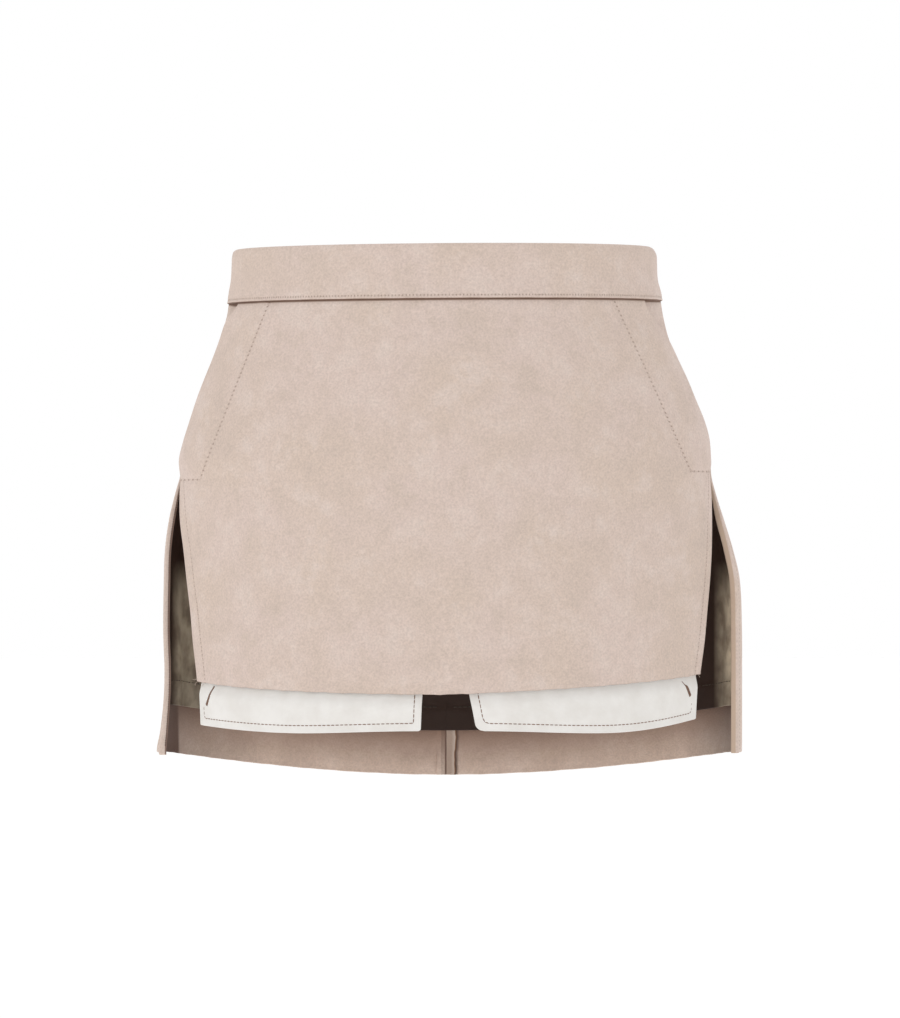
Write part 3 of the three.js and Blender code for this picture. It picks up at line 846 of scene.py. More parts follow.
@dataclass(frozen=True)
class Suede:
    """Napped suede leather: matt, with faint clouds where the nap turns, and painted brown shade in its seam
    creases and needle holes.
    """

    name: str
    pink: str = "#d6c3b9"
    sand: str = "#d3c0b3"
    pale: str = "#dac9bf"
    deep: str = "#cebcb0"
    # seam is the painted brown shade in the creases by seams and in the needle holes
    seam: str = "#846a5b"
    cloud_mm: float = 22.0
    patch_mm: float = 5.0
    grain_mm: float = 1.3  # the nap's fibres are finer, and are drawn as coarse as the render can show
    bump: float = 0.28

    def make(self) -> bpy.types.Material:
        """Make the material, which reads the UV maps Stitch and Crease.

        Returns:
            The material.
        """
        material, tree, shader = new_material(self.name)
        place = add_node(tree, "ShaderNodeTexCoord").outputs["Object"]
        patches = noise(tree, place, self.patch_mm, 3)
        grain = noise(tree, place, self.grain_mm, 2)
        colour = self.nap(tree, place, patches, grain)
        below, from_centre = map_parts(tree, "Crease")
        colour = self.depth_shade(tree, colour, from_centre)
        # Painted brown shade near the creases that the map Crease measures from
        colour = blend(tree, below, (0.2, 1.1), linear(self.seam), colour)
        groove, hole = self.stitch_masks(tree)
        # Painted shade in the needle holes
        colour = blend(tree, hole, (0.0, 1.6), colour, linear(self.seam))
        height = grain
        for share, part in ((0.35, patches), (-1.4, groove), (-2.4, hole)):
            settings = {"operation": "MULTIPLY_ADD", "in:1": share}
            height = add_node(tree, "ShaderNodeMath", settings, {0: part, 2: height}).outputs[0]
        tree.links.new(colour, shader.inputs["Base Color"])
        bump = {"in:Strength": self.bump, "in:Distance": 0.0005}
        normal = add_node(tree, "ShaderNodeBump", bump, {"Height": height})
        tree.links.new(normal.outputs[0], shader.inputs["Normal"])
        shader.inputs["Roughness"].default_value = 0.92
        shader.inputs["Specular IOR Level"].default_value = 0.12
        shader.inputs["Sheen Weight"].default_value = 0.13
        shader.inputs["Sheen Roughness"].default_value = 0.45
        shader.inputs["Sheen Tint"].default_value = linear("#efe9ea")
        return material

    def nap(
        self,
        tree: Tree,
        place: Socket,
        patches: Socket,
        grain: Socket,
    ) -> Socket:
        """The nap's colour, away from seams.

        Args:
            tree: the material's tree.
            place: object coordinates.
            patches: noise of small patches.
            grain: noise as fine as the nap.

        Returns:
            The colour.
        """
        hue = noise(tree, place, 60, 2)
        clouds = noise(tree, place, self.cloud_mm, 3)
        base = blend(tree, hue, (0.38, 0.62), linear(self.pink), linear(self.sand))
        add_patches = {"operation": "MULTIPLY_ADD", "in:1": 0.55}
        tone = add_node(tree, "ShaderNodeMath", add_patches, {0: patches, 2: clouds}).outputs[0]
        pale = blend(tree, tone, (0.78, 1.05), base, linear(self.pale))
        deep = blend(tree, tone, (0.77, 0.5), pale, linear(self.deep))
        return shaded(tree, deep, grain, (0.3, 0.7), (0.9, 1.08))

    def depth_shade(
        self, tree: Tree, colour: Socket, from_centre: Socket
    ) -> Socket:
        """The colour after the shading of the inside, of which the right side has none."""
        return colour

    @staticmethod
    def stitch_masks(tree: Tree) -> tuple[Socket, Socket]:
        """Masks of the groove that a row of stitches pulls in the nap, and of its needle holes.

        Args:
            tree: the material's tree.

        Returns:
            The groove and the holes, each from 0 to 1.
        """
        off_row, number = map_parts(tree, "Stitch")
        off = add_node(tree, "ShaderNodeMath", {"operation": "ABSOLUTE"}, {0: off_row}).outputs[0]
        step = {"interpolation_type": "SMOOTHSTEP", "in:From Min": 1.5, "in:From Max": 0.1}
        groove = add_node(tree, "ShaderNodeMapRange", step, {"Value": off}).outputs[0]
        narrow = {**step, "in:From Min": 0.8, "in:From Max": 0.2}
        near = add_node(tree, "ShaderNodeMapRange", narrow, {"Value": off}).outputs[0]
        part = add_node(tree, "ShaderNodeMath", {"operation": "FRACT"}, {0: number}).outputs[0]
        from_middle = {"operation": "SUBTRACT", "in:1": 0.5}
        centre = add_node(tree, "ShaderNodeMath", from_middle, {0: part}).outputs[0]
        away = add_node(tree, "ShaderNodeMath", {"operation": "ABSOLUTE"}, {0: centre}).outputs[0]
        ends = {**step, "in:From Min": 0.26, "in:From Max": 0.42}
        end = add_node(tree, "ShaderNodeMapRange", ends, {"Value": away}).outputs[0]
        hole = add_node(tree, "ShaderNodeMath", {"operation": "MULTIPLY"}, {0: near, 1: end}).outputs[0]
        return groove, hole


@dataclass(frozen=True)
class SuedeReverse(Suede):
    """The reverse of suede: browner, rougher, with painted shade that makes it darker up inside the skirt and
    on its turned edges.
    """

    pink: str = "#d3bbad"
    sand: str = "#cfb7a7"
    pale: str = "#d9c3b5"
    deep: str = "#c4ad9f"
    # seam is the painted shade in the reverse's creases and needle holes
    seam: str = "#574238"
    # inside, turned and rim are painted shade: up inside the skirt, on the turned slit edges and beside the
    # slit's rim
    inside: str = "#977b6c"
    turned: str = "#5f4b42"
    rim: str = "#8c7468"
    tan: str = "#c3ac99"
    bump: float = 0.5

    def depth_shade(
        self, tree: Tree, colour: Socket, from_centre: Socket
    ) -> Socket:
        """The colour after the inside's painted shade, which also reads the UV map Edges and object
        coordinates.

        Args:
            tree: the material's tree.
            colour: the colour of the nap.
            from_centre: signed distance from centre back.

        Returns:
            The colour.
        """
        in_from_edge, over_hem = map_parts(tree, "Edges")
        place = add_node(tree, "ShaderNodeTexCoord").outputs["Object"]
        x = add_node(tree, "ShaderNodeSeparateXYZ", {}, {0: place}).outputs[0]
        # Painted shade: darker higher over the hem, darker towards both slit edges, on the wearer's right
        # turned allowance and beside the rim; tan colours a strip by the slit edges
        colour = blend(tree, over_hem, (4, 30), colour, linear(self.inside))
        colour = shaded(tree, colour, x, (-0.178, -0.120), (0.6, 1.0))
        colour = shaded(tree, colour, x, (0.160, 0.188), (1.0, 0.5))
        colour = blend(tree, x, (-0.1792, -0.1780), linear(self.turned), colour)
        colour = blend(tree, in_from_edge, (31.6, 33.0), linear(self.tan), colour)
        colour = blend(tree, in_from_edge, (11.7, 12.2), linear(self.turned), colour)
        colour = blend(tree, in_from_edge, (2.6, 3.4), linear(self.rim), colour)
        # At centre back: the flat allowance darkened, a dark line at the seam, a paler flap with a painted
        # highlight by its lifted edge, a brown line on that edge and the flap's painted shadow
        flat = shaded(tree, colour, from_centre, (-3.9, -3.4), (1.0, 0.8))
        groove = blend(tree, from_centre, (-1.2, -0.4), flat, linear("#7b6256"))
        flap = blend(tree, from_centre, (-0.1, 0.5), groove, linear("#b29c8e"))
        pale = blend(tree, from_centre, (3.4, 5.0), flap, linear("#c8b5a8"))
        edge = blend(tree, from_centre, (5.3, 5.7), pale, linear("#8a6852"))
        shadow = blend(tree, from_centre, (6.0, 6.3), edge, linear(self.turned))
        return blend(tree, from_centre, (6.4, 8.6), shadow, colour)


class WeaveLook(Enum):
    """How much a woven cloth shows its threads."""

    PLAIN = 1.0
    SATIN = 0.35


@dataclass(frozen=True)
class Woven:
    """Woven cloth, whose threads follow the cloth: plain cotton is chalky, and satin has a soft shine."""

    name: str
    colour: str
    shade: str
    thread_mm: float
    look: WeaveLook
    roughness: float
    specular: float = 0.3
    # deep, when given, is the painted deep shade inside the skirt
    deep: str = ""
    bump: float = 0.25

    def make(self) -> bpy.types.Material:
        """Make the material, which reads the UV map Cloth, and with a deep colour also the place, for painted
        shade and a painted highlight.

        Returns:
            The material.
        """
        material, tree, shader = new_material(self.name)
        cloth = add_node(tree, "ShaderNodeUVMap", {"uv_map": "Cloth"}).outputs[0]
        place = add_node(tree, "ShaderNodeTexCoord").outputs["Object"]
        scale = math.pi / self.thread_mm
        waves = []
        for direction in ("X", "Y"):
            bands = {"bands_direction": direction, "in:Scale": scale / 10}
            settings = {**bands, "in:Distortion": 0.6, "in:Detail": 1.0}
            waves.append(add_node(tree, "ShaderNodeTexWave", settings, {"Vector": cloth}).outputs["Fac"])
        over = {"operation": "MULTIPLY_ADD", "in:1": self.look.value}
        weave = add_node(tree, "ShaderNodeMath", over, {0: waves[1], 2: waves[0]}).outputs[0]
        colour = blend(tree, noise(tree, place, 14, 3), (0.35, 0.65), linear(self.colour), linear(self.shade))
        # Painted shade and light: the deep colour at the top, across the middle and by the wearer's right
        # slit edge, darker low down, and a painted highlight by the wearer's left slit
        if self.deep:
            parts = add_node(tree, "ShaderNodeSeparateXYZ", {}, {0: place}).outputs
            colour = shaded(tree, colour, parts[2], (-0.272, -0.250), (0.72, 1.0))
            painted_highlight = shaded(tree, colour, parts[0], (0.0, 0.01), (1.0, 1.75))
            left = blend(tree, parts[0], (0.1790, 0.1880), linear(self.deep), painted_highlight)
            right = blend(tree, parts[0], (-0.164, -0.140), colour, left)
            edge = blend(tree, parts[0], (-0.1815, -0.1775), linear(self.deep), right)
            colour = blend(tree, parts[2], (-0.210, -0.184), edge, linear(self.deep))
        colour = shaded(tree, colour, weave, (0.0, 2.0), (0.97, 1.02))
        tree.links.new(colour, shader.inputs["Base Color"])
        relief = {"in:Strength": self.bump, "in:Distance": 0.0002}
        bump = add_node(tree, "ShaderNodeBump", relief, {"Height": weave})
        tree.links.new(bump.outputs[0], shader.inputs["Normal"])
        shader.inputs["Roughness"].default_value = self.roughness
        shader.inputs["Specular IOR Level"].default_value = self.specular
        return material


@dataclass(frozen=True)
class Plain:
    """Spun thread or lacquered metal, with a little uneven tone and a fine bump."""

    name: str
    colour: str
    shade: str
    roughness: float
    metallic: float = 0.0
    size_mm: float = 1.2

    def make(self) -> bpy.types.Material:
        """Make the material.

        Returns:
            The material.
        """
        material, tree, shader = new_material(self.name)
        place = add_node(tree, "ShaderNodeTexCoord").outputs["Object"]
        tone = noise(tree, place, self.size_mm, 3)
        colour = blend(tree, tone, (0.3, 0.7), linear(self.colour), linear(self.shade))
        tree.links.new(colour, shader.inputs["Base Color"])
        bump = add_node(tree, "ShaderNodeBump", {"in:Strength": 0.2, "in:Distance": 0.0001}, {"Height": tone})
        tree.links.new(bump.outputs[0], shader.inputs["Normal"])
        shader.inputs["Roughness"].default_value = self.roughness
        shader.inputs["Metallic"].default_value = self.metallic
        return material


class Finishes:
    """All the skirt's finishes."""

    def __init__(self) -> None:
        """Make each finish once."""
        self.suede = Suede("suede_napped").make()
        self.reverse = SuedeReverse("suede_reverse").make()
        # The satin's deep colour is painted shade.
        satin = Woven("satin_lining", "#a89a86", "#756758", 0.5, WeaveLook.SATIN, 0.42, 0.22, "#32221b", 0.12)
        self.satin = satin.make()
        self.cotton = Woven("cotton_poplin", "#edeae6", "#e6e2dd", 0.8, WeaveLook.PLAIN, 0.85, 0.15).make()
        self.brown_thread = Plain("thread_brown", "#6d5040", "#866655", 0.75).make()
        self.dark_thread = Plain("thread_dark", "#463229", "#5a443a", 0.75).make()
        self.tonal_thread = Plain("thread_tonal", "#b8a598", "#c6b5a9", 0.8).make()
        # The lining's hem thread is darker than olive: partly its own colour, partly painted shade for the
        # groove that its stitches pull
        self.olive_thread = Plain("thread_olive", "#2f271f", "#463c30", 0.7).make()
        self.zip_tape = Woven("zip_tape_woven", "#c3b1a5", "#b8a598", 0.7, WeaveLook.PLAIN, 0.8).make()
        self.metal = Plain("metal_lacquered", "#bcab9f", "#b3a195", 0.38, 0.55, 4.0).make()


# The pieces


def declare(piece: bpy.types.Object, nodes: Sequence[str], body: str = "skirt") -> None:
    """Say what a piece stands for, and report it.

    Args:
        piece: the piece.
        nodes: the CAD nodes that it replaces.
        body: the body that it rides on.
    """
    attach(piece, body)
    if nodes:
        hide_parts(*nodes)
    LOG.info("%s: %d faces, for %s", piece.name, len(piece.data.polygons), ", ".join(nodes) or "its own")


@dataclass
class Waistband:
    """The folded waistband, with a row of edge-stitching above its lower edge."""

    finishes: Finishes
    columns: int = 420
    rows: int = 26
    ends_gap: float = 1.6
    stitch_up: float = 2.1
    pitch: float = 1.9
    fold_radius: float = 0.8
    top_radius: float = 2.2
    waist_radius: float = 119.0
    flat: tuple[float, float] = (0.757, 0.0352)
    area: float = 0.0264

    def place(self, signed: Grid, up: Grid, depth: Grid) -> Grid:
        """Points on the band.

        Args:
            signed: degrees from centre front, below 0 on the wearer's right.
            up: height over the band's lower edge.
            depth: depth under the panels' surface.

        Returns:
            Points, with a last axis of 3.
        """
        side = np.where(signed < 0, -1, 1)
        degrees = np.abs(signed)
        z = FORM.band_top(side, degrees) - (FORM.band_height - FORM.seam_gap) + up
        points = FORM.back_under(side, degrees, z, depth)
        near_zip = (degrees > 90) & (np.abs(points[..., 0]) < self.ends_gap / 2)
        points[..., 0] = np.where(near_zip, side * self.ends_gap / 2, points[..., 0])
        return points

    def build(self) -> None:
        """Make the band and its stitches."""
        height = FORM.band_height - FORM.seam_gap
        signed = np.linspace(-180, 180, self.columns + 1)[None, :]
        inner_rows = np.linspace(2, height - 2, self.rows)[:, None]
        near = NEAR_EDGE[:-1, None]
        up = np.concatenate([near, inner_rows, (height - near)[::-1]])[::-1] + 0 * signed
        signed = signed + 0 * up
        around = np.radians(signed)
        rolled = np.where(signed > 0, 2.8, 1.0) * np.sin(around) ** 2
        roll = rolled * smooth(up, height - 7.5, height + 1) ** 1.5
        wave = 0.25 * np.sin(around * 37 + 0.7) * np.sin(around * 11) * (1 - smooth(up, 0, 9))
        base = -FORM.band_proud + wave + roll
        dent = 0.32 * np.exp(-(((up - self.stitch_up) / 0.9) ** 2))
        thick = FORM.band_proud + FORM.suede + FORM.turned
        edges = [(up, self.fold_radius), (height - up, self.top_radius)]
        outer_depth, inner_depth = cloth_face_depths(base, thick - wave, edges)
        girth = np.abs(around) * self.waist_radius
        # Crease puts painted brown shade along the band's lower edge, by the waist seam
        maps = {
            "Stitch": pairs(up - self.stitch_up, girth / self.pitch),
            "Crease": pairs(up * 3, FAR),
        }
        wall = ClothWall(
            "waistband_suede",
            self.place(signed, up, outer_depth + dent),
            self.place(signed, up, inner_depth),
            maps,
        )
        band = wall.build([self.finishes.suede, self.finishes.suede])
        declare(band, ["waistband"])
        places = np.linspace(-179.4, 179.4, 500)
        up_row = self.stitch_up + 0 * places
        in_groove = 0.42 - FORM.band_proud
        row = thread_row(lambda depth: self.place(places, up_row, depth + in_groove), places, self.pitch)
        thread = Thread(radius=0.24, share=0.6)
        stitches = thread.build("waistband_stitches", [row], self.finishes.tonal_thread)
        declare(stitches, [])


@dataclass
class FrontPanel:
    """The front panel, with its pocket mouths and slits turned in, topstitched, and its hem cut raw."""

    finishes: Finishes
    columns: int = 150
    rows: int = 118
    turn: float = 13.5
    slit_in_left: float = 8.2
    slit_in_right: float = 11.6
    mouth_pitch: float = 3.1
    slit_pitch: float = 2.6
    mouth_left: tuple[float, float] = (108.0, 0.46)
    mouth_right: tuple[float, float] = (113.0, 0.40)
    tack_left: float = -125.6
    tack_right: float = -131.0
    flat: tuple[float, float] = (0.412, 0.252)
    area: float = 0.0935

    def mouth_width(self, side: Side, z: Grid) -> Grid:
        """Half-width of the row of stitches that holds the mouth's edge."""
        waist, per_drop = self.mouth_left if side is Side.LEFT else self.mouth_right
        return waist + per_drop * (-15.5 - z)

    def slit_stitch_in(self, side: Side) -> float:
        """Distance from a slit's edge to its row of stitches."""
        return self.slit_in_left if side is Side.LEFT else self.slit_in_right

    def tack_height(self, side: Side) -> float:
        """Height of the bar of stitches at the mouth's foot."""
        return self.tack_left if side is Side.LEFT else self.tack_right

    def shares(self) -> list[Callable[[Grid], Grid]]:
        """The place of each column, as a function of height, from the wearer's right edge to the left one.

        Returns:
            The functions, each from heights to shares of the front.
        """
        near = np.concatenate([NEAR_EDGE, [3.2, 4.6, 6.4, 8.2, 10.0, 11.6, self.turn, self.turn + 0.7]])

        def at_edge(side: Side, length: float) -> Callable[[Grid], Grid]:
            """The share at a length in from one edge."""
            return lambda z: side.value * FORM.front_in_from_edge(side, z, length)

        def between(t: float) -> Callable[[Grid], Grid]:
            """The share at a part of the way between the turned edges."""
            low, high = at_edge(Side.RIGHT, near[-1]), at_edge(Side.LEFT, near[-1])
            return lambda z: np.where(t < 0.5, low(z) * (1 - 2 * t), high(z) * (2 * t - 1))

        right = [at_edge(Side.RIGHT, length) for length in near]
        middle = [between(t) for t in np.linspace(0, 1, self.columns)[1:-1]]
        left = [at_edge(Side.LEFT, length) for length in near[::-1]]
        return right + middle + left

    def stitch_map(self, u: Grid, z: Grid, points: Grid, in_from_edge: Grid) -> Grid:
        """Signed distance from the nearest row of stitches, and the stitch number along it.

        Args:
            u: shares of the front.
            z: heights.
            points: points on the outer face.
            in_from_edge: distances in from the side edges.

        Returns:
            The pairs, with a last axis of 2.
        """
        best = np.full(u.shape + (2,), NO_STITCH)
        for side in Side:
            here = u * side.value > 0
            x = np.abs(points[..., 0])
            sloped = (x - self.mouth_width(side, z)) * 1.05
            tack = z - self.tack_height(side)
            rows = (
                (sloped, -z * 1.09 / self.mouth_pitch, here & (tack > -1)),
                (tack, x / self.mouth_pitch, here & (sloped > -1.5)),
                (in_from_edge - self.slit_stitch_in(side), -z / self.slit_pitch, here & (tack < 1)),
            )
            for off, number, valid in rows:
                nearer = valid & (np.abs(off) < np.abs(best[..., 0]))
                best[nearer] = np.stack([off, number], axis=-1)[nearer]
        return best

    def build(self) -> None:
        """Make the panel and its stitches."""
        shares = self.shares()
        top_share = np.array([float(share(np.array(-16.0))) for share in shares])
        hem_share = np.array([float(share(np.array(-265.0))) for share in shares])
        seam = FORM.waist_seam(np.sign(top_share + 1e-9), FORM.front_degrees(top_share))
        top = seam + FORM.into_band
        raw = 0.14 * np.sin(hem_share * 61) + 0.1 * np.sin(hem_share * 143 + 1)
        z = row_heights(top, FORM.front_hem(hem_share) + raw, self.rows)
        u = np.stack([share(z[:, k]) for k, share in enumerate(shares)], axis=1)
        edge_step = np.minimum(
            (1 - u) / (1 - FORM.front_in_from_edge(Side.LEFT, z, 1.0)),
            (1 + u) / (1 - FORM.front_in_from_edge(Side.RIGHT, z, 1.0)),
        )
        thick = FORM.suede + FORM.turned * (1 - smooth(edge_step, self.turn, self.turn + 0.7))
        edges = [(edge_step, 1.3), (top - z, 0.4), (z - z[-1], 0.3)]
        outer_depth, inner_depth = cloth_face_depths(0.5 * (1 - smooth(top - z, 0.5, 3.5)), thick, edges)
        flat_points = FORM.front(u, z)
        stitch = self.stitch_map(u, z, flat_points, edge_step)
        # Painted brown shade below the waist seam, and a darker line along the raw hem
        crease = np.minimum(seam - z, (z - z[-1]) * 0.8 + 0.75)
        off = stitch[..., 0]
        pulled = 0.3 * np.exp(-((off / 1.6) ** 2)) - 0.3 * np.exp(-(((off - 5) / 4.0) ** 2))
        wall = ClothWall(
            "front_panel_suede",
            FORM.front_under(u, z, outer_depth + pulled),
            FORM.front_under(u, z, inner_depth),
            {"Stitch": stitch, "Crease": pairs(crease, FAR), "Edges": pairs(edge_step + 40, z - z[-1])},
        )
        panel = wall.build([self.finishes.suede, self.finishes.reverse])
        declare(panel, ["front_panel"])
        thread = Thread(radius=0.24, share=0.66)
        stitches = thread.build("front_panel_stitches", self.thread_rows(), self.finishes.tonal_thread)
        declare(stitches, [])

    def thread_rows(self) -> list[ThreadRow]:
        """The rows of stitches beside the mouths and slits, and at the mouths' feet.

        Returns:
            The rows.
        """
        rows = []
        for side in Side:
            foot = self.tack_height(side)
            mouth_z = np.linspace(-18, foot, 90)
            mouth_u = side.value * FORM.front_at_width(side, self.mouth_width(side, mouth_z), mouth_z)
            start = FORM.front_at_width(side, self.mouth_width(side, np.array(foot)), np.array(foot))
            tack_u = side.value * np.linspace(float(start), 0.985, 24)
            slit_z = np.linspace(foot - 2, -258, 90)
            slit_u = side.value * FORM.front_in_from_edge(side, slit_z, self.slit_stitch_in(side))
            for u, z, pitch in (
                (mouth_u, mouth_z, self.mouth_pitch),
                (tack_u, foot + 0 * tack_u, self.mouth_pitch * 0.8),
                (slit_u, slit_z, self.slit_pitch),
            ):
                row = thread_row(lambda depth, u=u, z=z: FORM.front_under(u, z, depth + 0.26), z, pitch)
                rows.append(row)
        return rows


@dataclass
class PocketFacing:
    """The suede facing behind one pocket mouth, which shows beside the waist seam."""

    finishes: Finishes
    side: Side
    underlap: float = 30.0
    into_band: float = 2.0
    foot: float = -131.0
    columns: int = 20
    rows: int = 60
    flat: tuple[float, float] = (0.066, 0.121)
    area: float = 0.0052

    def build(self) -> None:
        """Make the facing."""
        sign = self.side.value
        across = np.linspace(0, 1, 2 * self.columns + 1)[None, :]
        seam = FORM.waist_seam(sign, mix(55, 87, across))
        top = seam + self.into_band
        z = row_heights(top, self.foot + 0 * across, self.rows)
        t = across + 0 * z
        edges = [(top - z, 0.3), (z - z[-1], 0.3)]
        # Painted brown shade by the waist seam and along the mouth's edge, where the front panel's edge lies
        # over the facing
        crease = np.minimum(seam - z, 0.72 + 6.0 * np.abs(t - 0.5))
        outer_depth, inner_depth = cloth_face_depths(0 * z, FORM.suede, edges)
        maps = {
            "Stitch": pairs(NO_STITCH + 0 * z, 0.5),
            "Crease": pairs(crease, FAR),
            "Edges": pairs(FAR, z - z[-1]),
        }
        wall = ClothWall(
            f"pocket_facing_{self.side.word}_suede",
            self.place(t, z, outer_depth),
            self.place(t, z, inner_depth),
            maps,
        )
        facing = wall.build([self.finishes.suede, self.finishes.reverse])
        declare(facing, [f"pocket_facing_{self.side.word}"])

    def place(self, t: Grid, z: Grid, depth: Grid) -> Grid:
        """Points on the facing: under the front panel for the first half, then rising to the side seam.

        Args:
            t: shares of the way across, from under the panel to the side seam.
            z: heights.
            depth: depths under the facing's outer face.

        Returns:
            Points, with a last axis of 3.
        """
        sign = self.side.value
        base = FORM.suede + FORM.turned + 2 * FORM.layer_gap + FORM.cotton
        inner = FORM.front_in_from_edge(self.side, z, self.underlap)
        under = FORM.front_under(sign * mix(inner, 1.0, np.minimum(1, 2 * t)), z, base + depth)
        start = FORM.front_under(sign + 0 * z, z, base + depth)
        lead = FORM.front_under(sign * 0.99 + 0 * z, z, base + depth)
        flush = FORM.back_under(sign, FORM.back_in_from_edge(self.side, z, -FORM.seam_gap), z, depth)
        tucked = FORM.front_under(sign * 0.995 + 0 * z, z, base + depth)
        end = mix(flush, tucked, smooth(-z, 92, 114)[..., None])
        tangent = start - lead
        reach = np.linalg.norm(start - end, axis=-1, keepdims=True) * 0.45
        control = start + tangent / np.linalg.norm(tangent, axis=-1, keepdims=True) * reach
        k = np.clip(2 * t - 1, 0, 1)[..., None]
        rising = start * (1 - k) ** 2 + control * 2 * k * (1 - k) + end * k**2
        return np.where((t <= 0.5)[..., None], under, rising)


@dataclass
class BackPanel:
    """Half of the back, with its slit edge turned in and its centre back allowance lying inside."""

    finishes: Finishes
    side: Side
    columns: int = 84
    rows: int = 120
    turn: float = 12.0
    allowance: float = 6.4
    stitch_in: float = 6.0
    pitch: float = 2.6
    rim_pitch: float = 1.6
    flat: tuple[float, float] = (0.262, 0.322)
    area: float = 0.0745

    def build(self) -> None:
        """Make the half and its stitches."""
        side, sign = self.side, self.side.value
        turn, allowance = self.turn, self.allowance
        near = np.concatenate([NEAR_EDGE, [3.2, 4.6, 6.2, 8.0, 10.0, turn - 0.4, turn, turn + 0.5]])
        centre = np.array([0.0, 0.3, 0.8, 1.7, 3.0, allowance - 0.4, allowance, allowance + 0.5])

        def places(z: Grid) -> Grid:
            """Degrees for all columns at one height in each column.

            Args:
                z: heights, by row and column.

            Returns:
                Degrees, by row and column.
            """
            first = [FORM.back_in_from_edge(side, z[:, k], length) for k, length in enumerate(near)]
            last_columns = len(near) + self.columns
            last = [
                FORM.back_from_centre(side, z[:, last_columns + k], length)
                for k, length in enumerate(centre[::-1])
            ]
            middle = []
            for k, t in enumerate(np.linspace(0, 1, self.columns + 2)[1:-1]):
                height = z[:, len(near) + k]
                low = FORM.back_in_from_edge(side, height, near[-1])
                high = FORM.back_from_centre(side, height, centre[-1])
                middle.append(mix(low, high, t))
            return np.stack(first + middle + last, axis=1)

        total = len(near) + self.columns + len(centre)
        top_degrees = places(np.full((1, total), -16.0))[0]
        hem_degrees = places(np.full((1, total), -320.0))[0]
        seam = FORM.waist_seam(sign, top_degrees)
        top = seam + FORM.into_band
        hem = FORM.back_hem(hem_degrees) + 0.15 * np.sin(hem_degrees * 0.9) * np.sin(hem_degrees * 0.37)
        if side is Side.RIGHT:
            hem[: len(near)] -= 1.2 * (1 - smooth(near, 2.0, 5.0)) - 0.9 * (1 - smooth(near, 0, 0.8))
        z = row_heights(top, hem, self.rows)
        degrees = places(z)
        per_mm = FORM.back_degrees(side, degrees, z, 1.0)
        in_from_edge = (degrees - FORM.back_table.at(f"{side.word}_edge", z)) / per_mm
        from_centre = (180 - degrees) / per_mm
        ragged = 0.5 * np.sin(z * 0.31) + 0.35 * np.sin(z * 0.83 + 2) - 1.6 * smooth(z, -333, -303)
        at_edge = 1 - smooth(in_from_edge, self.turn - 0.4, self.turn + 0.3)
        at_centre = 1 - smooth(from_centre + ragged * 0.5, self.allowance - 0.4, self.allowance + 0.3)
        lift = 0.9 * smooth(from_centre, 2, self.allowance) * at_centre * (sign > 0)
        grown = 2.1 if side is Side.LEFT else mix(1.3, 2.3, smooth(-z, 285, 328))
        bead = grown * (1 - smooth(in_from_edge, 1.6, 3.8)) * smooth(-z, 132, 160)
        thick = FORM.suede + FORM.turned * np.maximum(at_edge, at_centre) + lift + bead
        edges = [(in_from_edge, 1.3), (top - z, 0.4), (z - z[-1], 0.35), (from_centre, 0.5)]
        outer_depth, inner_depth = cloth_face_depths(0.5 * (1 - smooth(top - z, 0.5, 3.5)), thick, edges)
        off = in_from_edge - self.stitch_in
        below = z < FORM.slit_top - 2
        stitch = pairs(np.where(below, off, NO_STITCH), -z / self.pitch)
        pulled = 0.25 * np.exp(-((stitch[..., 0] / 1.6) ** 2))
        ragged_centre = sign * from_centre + ragged * 0.5 * smooth(from_centre, 2, 5)
        # Crease puts painted shade below the waist seam and places the centre back's painted marks; Edges
        # gives turned-edge painted shade on the wearer's right edge only
        maps = {
            "Stitch": stitch,
            "Crease": pairs(seam - z, ragged_centre),
            "Edges": pairs(in_from_edge + (0 if side is Side.RIGHT else 30), z - z[-1]),
        }
        wall = ClothWall(
            f"back_panel_{side.word}_suede",
            FORM.back_under(sign, degrees, z, outer_depth + pulled),
            FORM.back_under(sign, degrees, z, inner_depth),
            maps,
            rim_like_inner=side is Side.LEFT,
        )
        panel = wall.build([self.finishes.suede, self.finishes.reverse])
        declare(panel, [f"back_panel_{side.word}"])
        slit_z = np.linspace(FORM.slit_top - 3, -306, 110)
        slit_degrees = FORM.back_in_from_edge(side, slit_z, self.stitch_in)

        def at_slit(depth: Grid) -> Grid:
            """Points beside the slit at a depth under the outer face."""
            return FORM.back_under(sign, slit_degrees, slit_z, depth)

        outside = thread_row(lambda depth: at_slit(depth + 0.24), slit_z, self.pitch)
        inside_depth = FORM.suede + FORM.turned
        inside = thread_row(lambda depth: at_slit(inside_depth - depth), slit_z, self.pitch)
        stitches = Thread(radius=0.24, share=0.66).build(
            f"back_panel_{side.word}_stitches", [outside, inside], self.finishes.tonal_thread
        )
        declare(stitches, [])
        if side is Side.RIGHT:
            self.build_rim_stitches(slit_z)

    def build_rim_stitches(self, z: Grid) -> None:
        """Make the small dark stitches along the inner corner of the thick slit edge.

        Args:
            z: heights along the slit, from its top down.
        """
        degrees = FORM.back_in_from_edge(self.side, z, -0.05)
        path = FORM.back_under(self.side.value, degrees, z, mix(2.75, 3.75, smooth(-z, 285, 328)))
        row = ThreadRow(path, np.tile([0.0, -1.0, 0.0], (len(z), 1)), self.rim_pitch)
        thread = Thread(radius=0.34, share=0.56, dip=0.3)
        stitches = thread.build("back_panel_right_rim_stitches", [row], self.finishes.dark_thread)
        declare(stitches, [])


